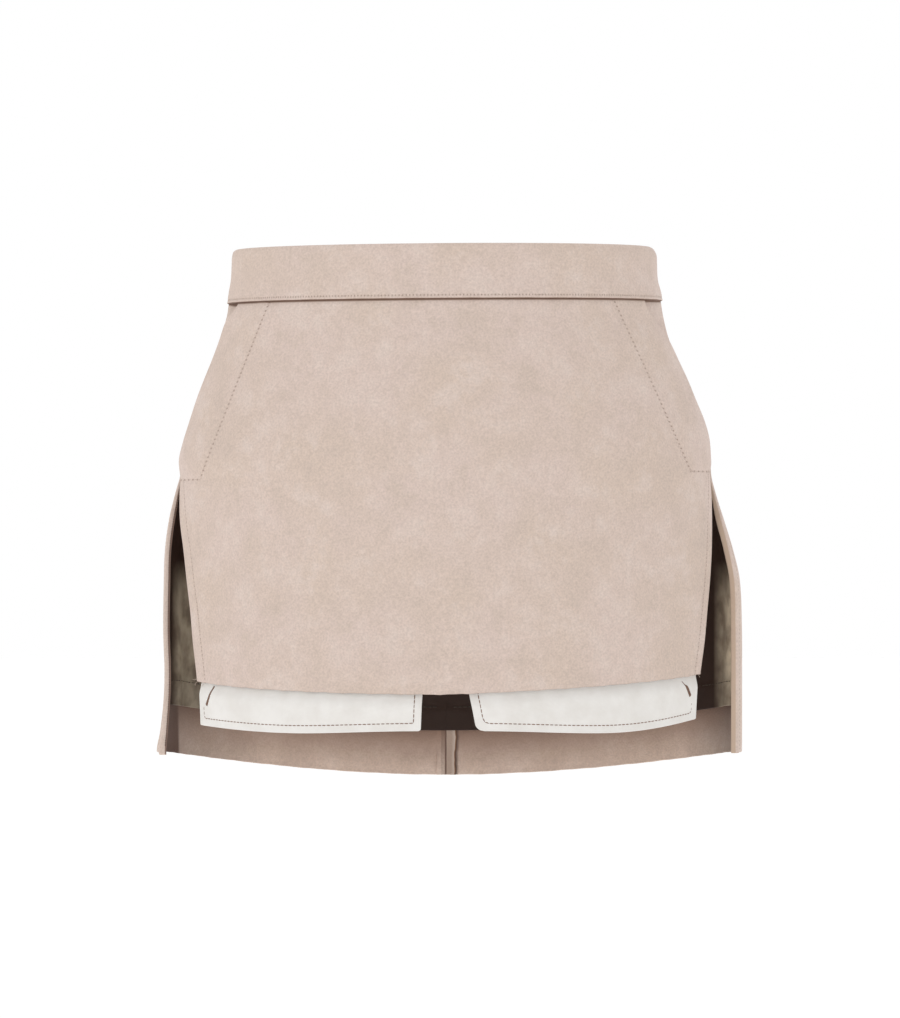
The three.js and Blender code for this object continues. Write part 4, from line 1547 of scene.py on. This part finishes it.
@dataclass
class PocketBag:
    """One cotton pocket bag, of two plies sewn together round their edges.

    across is its width along the seam, and edge_across and rim_across are the widths that shares of it are
    turned to millimetres with beside its edges.
    """

    finishes: Finishes
    side: Side
    columns: int = 72
    rows: int = 120
    margin: float = 4.9
    pitch: float = 3.0
    hang_out: float = 2.2
    short_of_mouth: float = 6.0
    across: float = 185.0
    edge_across: float = 150.0
    rim_across: float = 165.0
    flat: tuple[float, float] = (0.172, 0.282)
    area: float = 0.0458

    def inner_width(self, z: Grid) -> Grid:
        """Half-width of the bag's edge beside centre front.

        Args:
            z: heights.

        Returns:
            The distances from the middle.
        """
        top, hem, bottom = (13.0, 15.0, 20.0) if self.side is Side.LEFT else (14.0, 15.0, 16.0)
        centre_hem = -266.8
        above = mix(hem, top, smooth(z, centre_hem, 0))
        below = mix(hem, bottom, (centre_hem - z) / 25.0)
        return np.where(z > centre_hem, above, below)

    def foot(self, t: Grid) -> Grid:
        """Height of the bag's lower edge, from beside centre front to the slit.

        Args:
            t: shares of the way across the bag.

        Returns:
            The heights.
        """
        outer = -285.5 if self.side is Side.LEFT else -290.0
        inward = mix(-290.0, -292.5, smooth(t, 0, 0.5))
        outward = mix(-292.5, outer, smooth(t, 0.5, 1.15))
        return np.where(t < 0.5, inward, outward)

    def share(self, t: Grid, z: Grid, is_back: bool) -> Grid:
        """The front's share at a part of the way across the bag.

        Args:
            t: parts of the way across, from beside centre front.
            z: heights.
            is_back: whether it is the ply nearer the wearer.

        Returns:
            Shares of the front, below 0 on the wearer's right.
        """
        inner = FORM.front_at_width(self.side, self.inner_width(z), z)
        short = FORM.seam_gap
        if not is_back:
            short = mix(self.short_of_mouth, FORM.seam_gap, smooth(-z, 107.6, 137.6))
        outer = FORM.front_in_from_edge(self.side, z, short)
        return self.side.value * mix(inner, outer, t)

    def build(self) -> None:
        """Make both plies and the stitches that join them."""
        for is_back, word in ((False, "front"), (True, "back")):
            self.build_ply(is_back, word)
        stitches = Thread(radius=0.31, share=0.99, dip=0.25).build(
            f"pocket_bag_{self.side.word}_stitches", self.thread_rows(), self.finishes.brown_thread
        )
        declare(stitches, [])
        self.build_bar_tack()

    def depth(self, t: Grid, z: Grid, is_back: bool) -> Grid:
        """Depth of a ply's outer face, of which the back one passes behind the pocket's facing.

        Args:
            t: parts of the way across, from beside centre front.
            z: heights.
            is_back: whether it is the ply nearer the wearer.

        Returns:
            Depths under the front panel's outer surface.
        """
        front = FORM.suede + FORM.turned + FORM.layer_gap - self.out_below_hem(self.share(t, z, is_back), z)
        if not is_back:
            return front + 0 * z
        behind = smooth(t, 0.68, 0.78) * smooth(z, -140, -133)
        return front + FORM.cotton + FORM.layer_gap + behind * (FORM.suede + FORM.layer_gap)

    def out_below_hem(self, u: Grid, z: Grid) -> Grid:
        """How far the bag comes out once it is free of the front panel."""
        return self.hang_out * smooth(FORM.front_hem(u) - z, 0, 9)

    def build_ply(self, is_back: bool, word: str) -> None:
        """Make one ply.

        Args:
            is_back: whether it is the ply nearer the wearer.
            word: its word in the node's name.
        """
        near = NEAR_EDGE / self.rim_across
        t_row = np.concatenate([near, np.linspace(0, 1, self.columns)[2:-2], 1 - near[::-1]])[None, :]
        top = FORM.waist_seam(self.side.value, 60 * t_row)
        foot = self.foot(t_row)
        corner_in, corner_out = (4.0, 1.2) if self.side is Side.LEFT else (1.5, 1.0)
        from_inner, from_outer = t_row * self.edge_across, (1 - t_row) * self.edge_across
        foot = foot + corner_in * rounded_edge(from_inner, corner_in) / corner_in
        foot = foot + corner_out * rounded_edge(from_outer, corner_out) / corner_out
        z = row_heights(top, foot, self.rows)
        t = t_row + 0 * z
        u = self.share(t, z, is_back)
        from_sides = np.minimum(t, 1 - t) * self.edge_across
        edge = np.minimum(from_sides, z - z[-1])
        hanging = smooth(-z, 235, 262)
        together = (1 - smooth(edge, self.margin, self.margin + 5)) * hanging
        sunk = 0.22 * np.exp(-(((edge - self.margin) / 0.9) ** 2)) * hanging
        soft = 0.35 * np.sin(u * 46 + z * 0.05) * np.sin(z * 0.043 + 1.3) * smooth(edge, 4, 20) * hanging
        toward = 1 if is_back else -1
        depth = self.depth(t, z, is_back) - toward * together * 0.24
        thick = FORM.cotton - 0.1
        edges = [(from_sides, 0.45), (z - z[-1], 0.45), (top - z, 0.2)]
        outer_depth, inner_depth = cloth_face_depths(depth, thick + 0 * z, edges)
        outer_depth = outer_depth + (0 if is_back else sunk - soft)
        inner_depth = inner_depth - (sunk if is_back else soft * 0.5)
        wall = ClothWall(
            f"pocket_bag_{word}_{self.side.word}_cotton",
            FORM.front_under(u, z, outer_depth),
            FORM.front_under(u, z, inner_depth),
        )
        ply = wall.build([self.finishes.cotton, self.finishes.cotton])
        declare(ply, [f"pocket_bag_{word}_{self.side.word}"])

    def thread_rows(self) -> list[ThreadRow]:
        """The stitches round the bag, on its front and its back.

        Returns:
            The rows.
        """
        inner, outer = (5.4, 9.0) if self.side is Side.LEFT else (4.7, 7.4)
        inner, outer = inner / self.across, outer / self.across
        corner = np.linspace(0, math.pi / 2, 7)[1:-1]
        bend = 3.0 if self.side is Side.LEFT else 0.6
        down_t, down_up = np.full(60, inner), np.linspace(140, self.margin + bend, 60)
        round_t = inner + (1 - np.cos(corner)) * bend / self.across
        round_up = self.margin + (1 - np.sin(corner)) * bend
        low_t, low_up = np.linspace(inner + bend / self.across, 1 - outer, 90), np.full(90, self.margin)
        tack_foot = -273.0 if self.side is Side.LEFT else -277.6
        out_t = np.full(30, 1 - outer)
        out_up = np.linspace(self.margin, tack_foot - float(self.foot(np.array(1 - outer))), 30)
        t = np.concatenate([down_t, round_t, low_t, out_t])
        z = self.foot(t) + np.concatenate([down_up, round_up, low_up, out_up])
        u = self.share(t, z, False)
        rows = []
        for is_back in (False, True):
            base = self.depth(t, z, is_back) - (0.24 if is_back else -0.24)
            face = base + (FORM.cotton - 0.1 - 0.2 if is_back else 0.2)
            flip = -1 if is_back else 1

            def on_ply(depth: Grid, face: Grid = face, flip: int = flip) -> Grid:
                """Points round the bag at a depth under this ply's face."""
                return FORM.front_under(u, z, face + flip * depth)

            rows.append(thread_row(on_ply, z, self.pitch))
        return rows

    def build_bar_tack(self) -> None:
        """Make the thick bar of brown thread near the bag's outer corner."""
        left = self.side is Side.LEFT
        x = np.array([154.5, 157.1, 159.4] if left else [151.7, 153.6, 155.9])
        z = np.array([-261.6, -265.5, -271.3] if left else [-264.8, -270.6, -277.1])
        t = np.linspace(0, 2, 30)
        x, z = np.interp(t, [0, 1, 2], x), np.interp(t, [0, 1, 2], z)
        u = self.side.value * FORM.front_at_width(self.side, x, z)
        face = FORM.suede + FORM.turned + FORM.layer_gap - self.out_below_hem(u, z)
        row = thread_row(lambda depth: FORM.front_under(u, z, face + depth), z, 0.75)
        across = np.cross(np.gradient(row.path, axis=0), row.out)
        across /= np.linalg.norm(across, axis=-1, keepdims=True)
        threads = []
        length = np.concatenate([[0], np.cumsum(np.linalg.norm(np.diff(row.path, axis=0), axis=1))])
        for at in np.arange(0.2, length[-1], 0.42):
            centre = np.array([np.interp(at, length, row.path[:, n]) for n in range(3)])
            way = np.array([np.interp(at, length, across[:, n]) for n in range(3)])
            out = np.array([np.interp(at, length, row.out[:, n]) for n in range(3)])
            half = 0.35 + 0.95 * (smooth(at, length[-1] * 0.2, length[-1] * 0.5) if left else 1.0)
            ends = np.array([centre - way * half, centre + way * half])
            threads.append(ThreadRow(ends, np.array([out, out]), 2 * half))
        tack = Thread(radius=0.26, share=0.98, dip=0.3).build(
            f"pocket_bag_{self.side.word}_bar_tack", threads, self.finishes.brown_thread
        )
        declare(tack, [])


@dataclass
class BackLining:
    """Half of the back's satin lining, with a turned hem. It hangs in soft ripples over the zip tape."""

    finishes: Finishes
    side: Side
    columns: int = 96
    rows: int = 120
    hem_rise: float = 30.5
    hem_turn: float = 16.0
    edge_in: float = 4.0
    pitch: float = 3.4
    flat: tuple[float, float] = (0.252, 0.290)
    area: float = 0.064

    def depth(self, degrees: Grid, z: Grid, from_centre: Grid, in_from_edge: Grid) -> Grid:
        """Depth of the lining's outer face under the back, over the zip tape and with soft ripples.

        Args:
            degrees: places round the back.
            z: heights.
            from_centre: distances from centre back.
            in_from_edge: distances in from the slit edge.

        Returns:
            Depths under the back's outer surface.
        """
        base = FORM.suede + FORM.turned + FORM.layer_gap
        over_tape = (1 - smooth(from_centre, 21, 31)) * smooth(z, -180, -164)
        loose = smooth(-z, 60, 220) * smooth(in_from_edge, 6, 34) * smooth(from_centre, 4, 22)
        uneven = 0.65 + 0.35 * np.sin(degrees * 0.19 + z * 0.02 + 1)
        ripple = 1.3 * (1 + np.sin(degrees * 0.42 + z * 0.012)) * uneven
        return base + over_tape * (1 + FORM.layer_gap) + loose * ripple

    def build(self) -> None:
        """Make the half and the stitches of its hem."""
        side, sign = self.side, self.side.value
        t = np.linspace(0, 1, self.columns + 1)[None, :]

        def places(z: Grid, part: Grid) -> Grid:
            """Degrees at a part of the way from the slit edge to centre back."""
            first = FORM.back_in_from_edge(side, z, self.edge_in)
            return mix(first, 180.0, part)

        top = FORM.waist_seam(sign, places(np.array(-16.0), t))
        hem = FORM.back_hem(places(np.array(-320.0), t)) + self.hem_rise
        z = row_heights(top, hem, self.rows)
        part = t + 0 * z
        degrees = places(z, part)
        per_mm = FORM.back_degrees(side, degrees, z, 1.0)
        in_from_edge = (degrees - FORM.back_table.at(f"{side.word}_edge", z)) / per_mm
        from_centre = (180 - degrees) / per_mm
        depth = self.depth(degrees, z, from_centre, in_from_edge)
        up = z - z[-1]
        hem_step = 1 - smooth(up, self.hem_turn - 0.3, self.hem_turn + 0.6)
        pucker = 0.25 * np.sin(degrees * 5.1) * np.exp(-(((up - self.hem_turn) / 5) ** 2))
        thick = 0.55 + 0.35 * hem_step + pucker * 0.5 + 0.12
        edges = [(up, 0.35), (in_from_edge - self.edge_in, 0.3), (top - z, 0.2), (from_centre, 0.25)]
        outer_depth, inner_depth = cloth_face_depths(depth, thick, edges)
        wall = ClothWall(
            f"lining_{side.word}_satin",
            FORM.back_under(sign, degrees, z, outer_depth),
            FORM.back_under(sign, degrees, z, inner_depth),
        )
        lining = wall.build([self.finishes.satin, self.finishes.satin])
        declare(lining, [f"lining_{side.word}"])
        along = np.linspace(0.01, 0.99, 160)
        row_z = FORM.back_hem(places(np.array(-320.0), along)) + self.hem_rise + self.hem_turn
        row_degrees = places(row_z, along)
        row_per_mm = FORM.back_degrees(side, row_degrees, row_z, 1.0)
        row_depth = self.depth(
            row_degrees,
            row_z,
            (180 - row_degrees) / row_per_mm,
            (row_degrees - FORM.back_table.at(f"{side.word}_edge", row_z)) / row_per_mm,
        )
        face = row_depth + 0.82

        def on_hem(depth: Grid) -> Grid:
            """Points along the hem's stitches at a depth over the lining's inner face."""
            return FORM.back_under(sign, row_degrees, row_z, face - depth)

        row = thread_row(on_hem, row_z, self.pitch)
        thread = Thread(radius=0.3, share=0.86, dip=0.5)
        stitches = thread.build(f"lining_{side.word}_stitches", [row], self.finishes.olive_thread)
        declare(stitches, [])


@dataclass
class Zip:
    """The concealed zip at centre back: its tape, its coil, and a lacquered slider and pull."""

    finishes: Finishes
    half_width: float = 12.0
    thick: float = 1.0
    top: float = 8.0
    bottom: float = -160.0
    coil_pitch: float = 1.6
    coil_half: float = 1.6
    flat: tuple[float, float] = (0.024, 0.172)
    area: float = 0.00408

    def build(self, nodes: dict[str, bpy.types.Object]) -> None:
        """Make the tape and coil, and dress the metal nodes.

        Args:
            nodes: the CAD nodes by name.
        """
        x = np.linspace(-self.half_width, self.half_width, 25)[None, :]
        z = np.linspace(self.top, self.bottom, 150)[:, None] + 0 * x
        x = x + 0 * z
        degrees = 180 - np.where(
            x < 0,
            FORM.back_degrees(Side.RIGHT, 178 + 0 * z, z, np.abs(x)),
            FORM.back_degrees(Side.LEFT, 178 + 0 * z, z, np.abs(x)),
        )
        side = np.where(x < 0, -1, 1)
        depth = FORM.suede + FORM.turned + FORM.layer_gap
        edges = [(self.half_width - np.abs(x), 0.3)]
        outer_depth, inner_depth = cloth_face_depths(depth + 0 * z, self.thick - 0.2 + 0 * z, edges)
        wall = ClothWall(
            "zip_tape_woven",
            FORM.back_under(side, degrees, z, outer_depth),
            FORM.back_under(side, degrees, z, inner_depth),
        )
        tape = wall.build([self.finishes.zip_tape, self.finishes.zip_tape])
        declare(tape, ["zip_tape"])
        rows = []
        ends, sides = np.array([-self.coil_half, self.coil_half]), np.array([-1, 1])
        for height in np.arange(self.bottom + 3, self.top - 1, self.coil_pitch):
            level = np.full(2, height)
            around = 180 - FORM.back_degrees(Side.LEFT, np.full(2, 178.0), level, np.abs(ends))

            def on_tape(over: Grid, around: Grid = around, level: Grid = level) -> Grid:
                """The two ends of one turn of the coil at a depth under the tape's face."""
                return FORM.back_under(sides, around, level, depth + over - 0.05)

            rows.append(thread_row(on_tape, ends, 2 * self.coil_half))
        coil = Thread(radius=0.32, share=0.95).build("zip_coil", rows, self.finishes.zip_tape)
        declare(coil, [])
        for name in ("zip_slider", "zip_pull"):
            node = nodes[name]
            node.data.materials.clear()
            node.data.materials.append(self.finishes.metal)
            LOG.info("%s: keeps its CAD form, in lacquered metal", name)


@dataclass
class LooseEnds:
    """Short ends of thread at the lower corners of the front panel."""

    finishes: Finishes
    radius: float = 0.14

    def build(self) -> None:
        """Make the thread ends as one object."""
        strands = (
            ((-161.0, -261.0), (-162.4, -260.2), (-163.6, -261.4), (-164.4, -260.6)),
            ((-161.4, -262.2), (-162.8, -263.4), (-163.0, -265.2)),
            ((-158.6, -262.4), (-157.8, -264.2), (-158.6, -265.4)),
            ((164.2, -257.0), (165.4, -256.2), (166.2, -257.0)),
            ((163.8, -257.8), (165.0, -258.8), (165.2, -260.2)),
        )
        rows = []
        for strand in strands:
            knots = np.array(strand)
            t = np.linspace(0, len(knots) - 1, 12)
            x = np.interp(t, range(len(knots)), knots[:, 0])
            z = np.interp(t, range(len(knots)), knots[:, 1])
            side = Side.LEFT if x[0] > 0 else Side.RIGHT
            edge_y = FORM.front_table.at("edge_y", z)
            path = np.stack([x, edge_y - 1.2 - 0.5 * np.sin(t * 2), z], axis=1)
            rows.append(ThreadRow(path, np.tile([side.value * 0.6, -0.8, 0.0], (12, 1)), 1.1))
        thread = Thread(radius=self.radius, share=1.25)
        ends = thread.build("front_hem_loose_ends", rows, self.finishes.tonal_thread)
        declare(ends, [])


# The studio


@dataclass
class Studio:
    """A pale floor and backdrop, soft light from the front and left, and the photo's camera."""

    distance: float = 2.6
    focal_px: float = 3957.0
    long_side_px: float = 1018.0
    sensor_mm: float = 36.0
    camera_x: float = 0.0027
    camera_z: float = -0.150
    floor_z: float = -1.0
    front_strength: float = 0.69
    behind_strength: float = 1.0

    def build(self) -> None:
        """Make the camera, the lights, the world and the floor."""
        bpy.context.scene.view_settings.view_transform = "Standard"
        data = bpy.data.cameras.new("camera")
        data.sensor_width = self.sensor_mm
        data.lens = self.focal_px / self.long_side_px * self.sensor_mm
        camera = bpy.data.objects.new("camera", data)
        camera.location = (self.camera_x, -self.distance, self.camera_z)
        camera.rotation_euler = (math.pi / 2, 0, 0)
        bpy.context.scene.collection.objects.link(camera)
        bpy.context.scene.camera = camera
        # The key light stands front left, a weaker one fills from the right, and one hangs over the skirt.
        self.area_light("key", (-1.9, -2.4, 1.1), 1.8, 14)
        self.area_light("fill", (2.3, -2.2, 0.5), 2.2, 4)
        self.area_light("top", (0.2, -0.3, 2.4), 2.0, 6)
        self.backdrop()
        bpy.ops.object.select_all(action="DESELECT")
        bpy.ops.mesh.primitive_plane_add(size=40, location=(0, 0, self.floor_z))
        floor = bpy.context.active_object
        floor.name = "floor"
        material, _, shader = new_material("painted_floor")
        shader.inputs["Base Color"].default_value = linear("#fbfbfa")
        shader.inputs["Roughness"].default_value = 0.9
        shader.inputs["Emission Color"].default_value = (1, 1, 1, 1)
        shader.inputs["Emission Strength"].default_value = 0.22
        floor.data.materials.append(material)

    def backdrop(self) -> None:
        """Make the white surroundings, which are a little dimmer in front of the skirt than behind it."""
        world = bpy.data.worlds.new("studio")
        world.use_nodes = True
        tree = world.node_tree
        way = add_node(tree, "ShaderNodeTexCoord").outputs["Generated"]
        parts = add_node(tree, "ShaderNodeSeparateXYZ", {}, {0: way})
        span = {"in:From Min": -0.25, "in:From Max": 0.45}
        levels = {"in:To Min": self.front_strength, "in:To Max": self.behind_strength}
        strength = add_node(tree, "ShaderNodeMapRange", {**span, **levels}, {"Value": parts.outputs[1]})
        background = tree.nodes["Background"]
        background.inputs["Color"].default_value = (1, 1, 1, 1)
        tree.links.new(strength.outputs[0], background.inputs["Strength"])
        bpy.context.scene.world = world

    @staticmethod
    def area_light(name: str, place: tuple[float, float, float], size: float, power: float) -> None:
        """Add a soft square light that faces the skirt.

        Args:
            name: the light's name.
            place: where it stands.
            size: the length of its side.
            power: its power in watts.
        """
        data = bpy.data.lights.new(name, "AREA")
        data.size = size
        data.energy = power
        light = bpy.data.objects.new(name, data)
        light.location = place
        toward = Vector((0, 0, -0.15)) - Vector(place)
        light.rotation_euler = toward.to_track_quat("-Z", "Y").to_euler()
        bpy.context.scene.collection.objects.link(light)


def main() -> None:
    """Load the CAD frame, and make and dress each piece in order."""
    logging.basicConfig(level=logging.INFO, format="%(name)s %(message)s")
    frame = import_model()
    finishes = Finishes()
    Studio().build()
    Waistband(finishes).build()
    FrontPanel(finishes).build()
    for side in Side:
        PocketFacing(finishes, side).build()
        BackPanel(finishes, side).build()
        PocketBag(finishes, side).build()
        BackLining(finishes, side).build()
    Zip(finishes).build(frame["nodes"])
    LooseEnds(finishes).build()


if __name__ == "__main__":
    main()
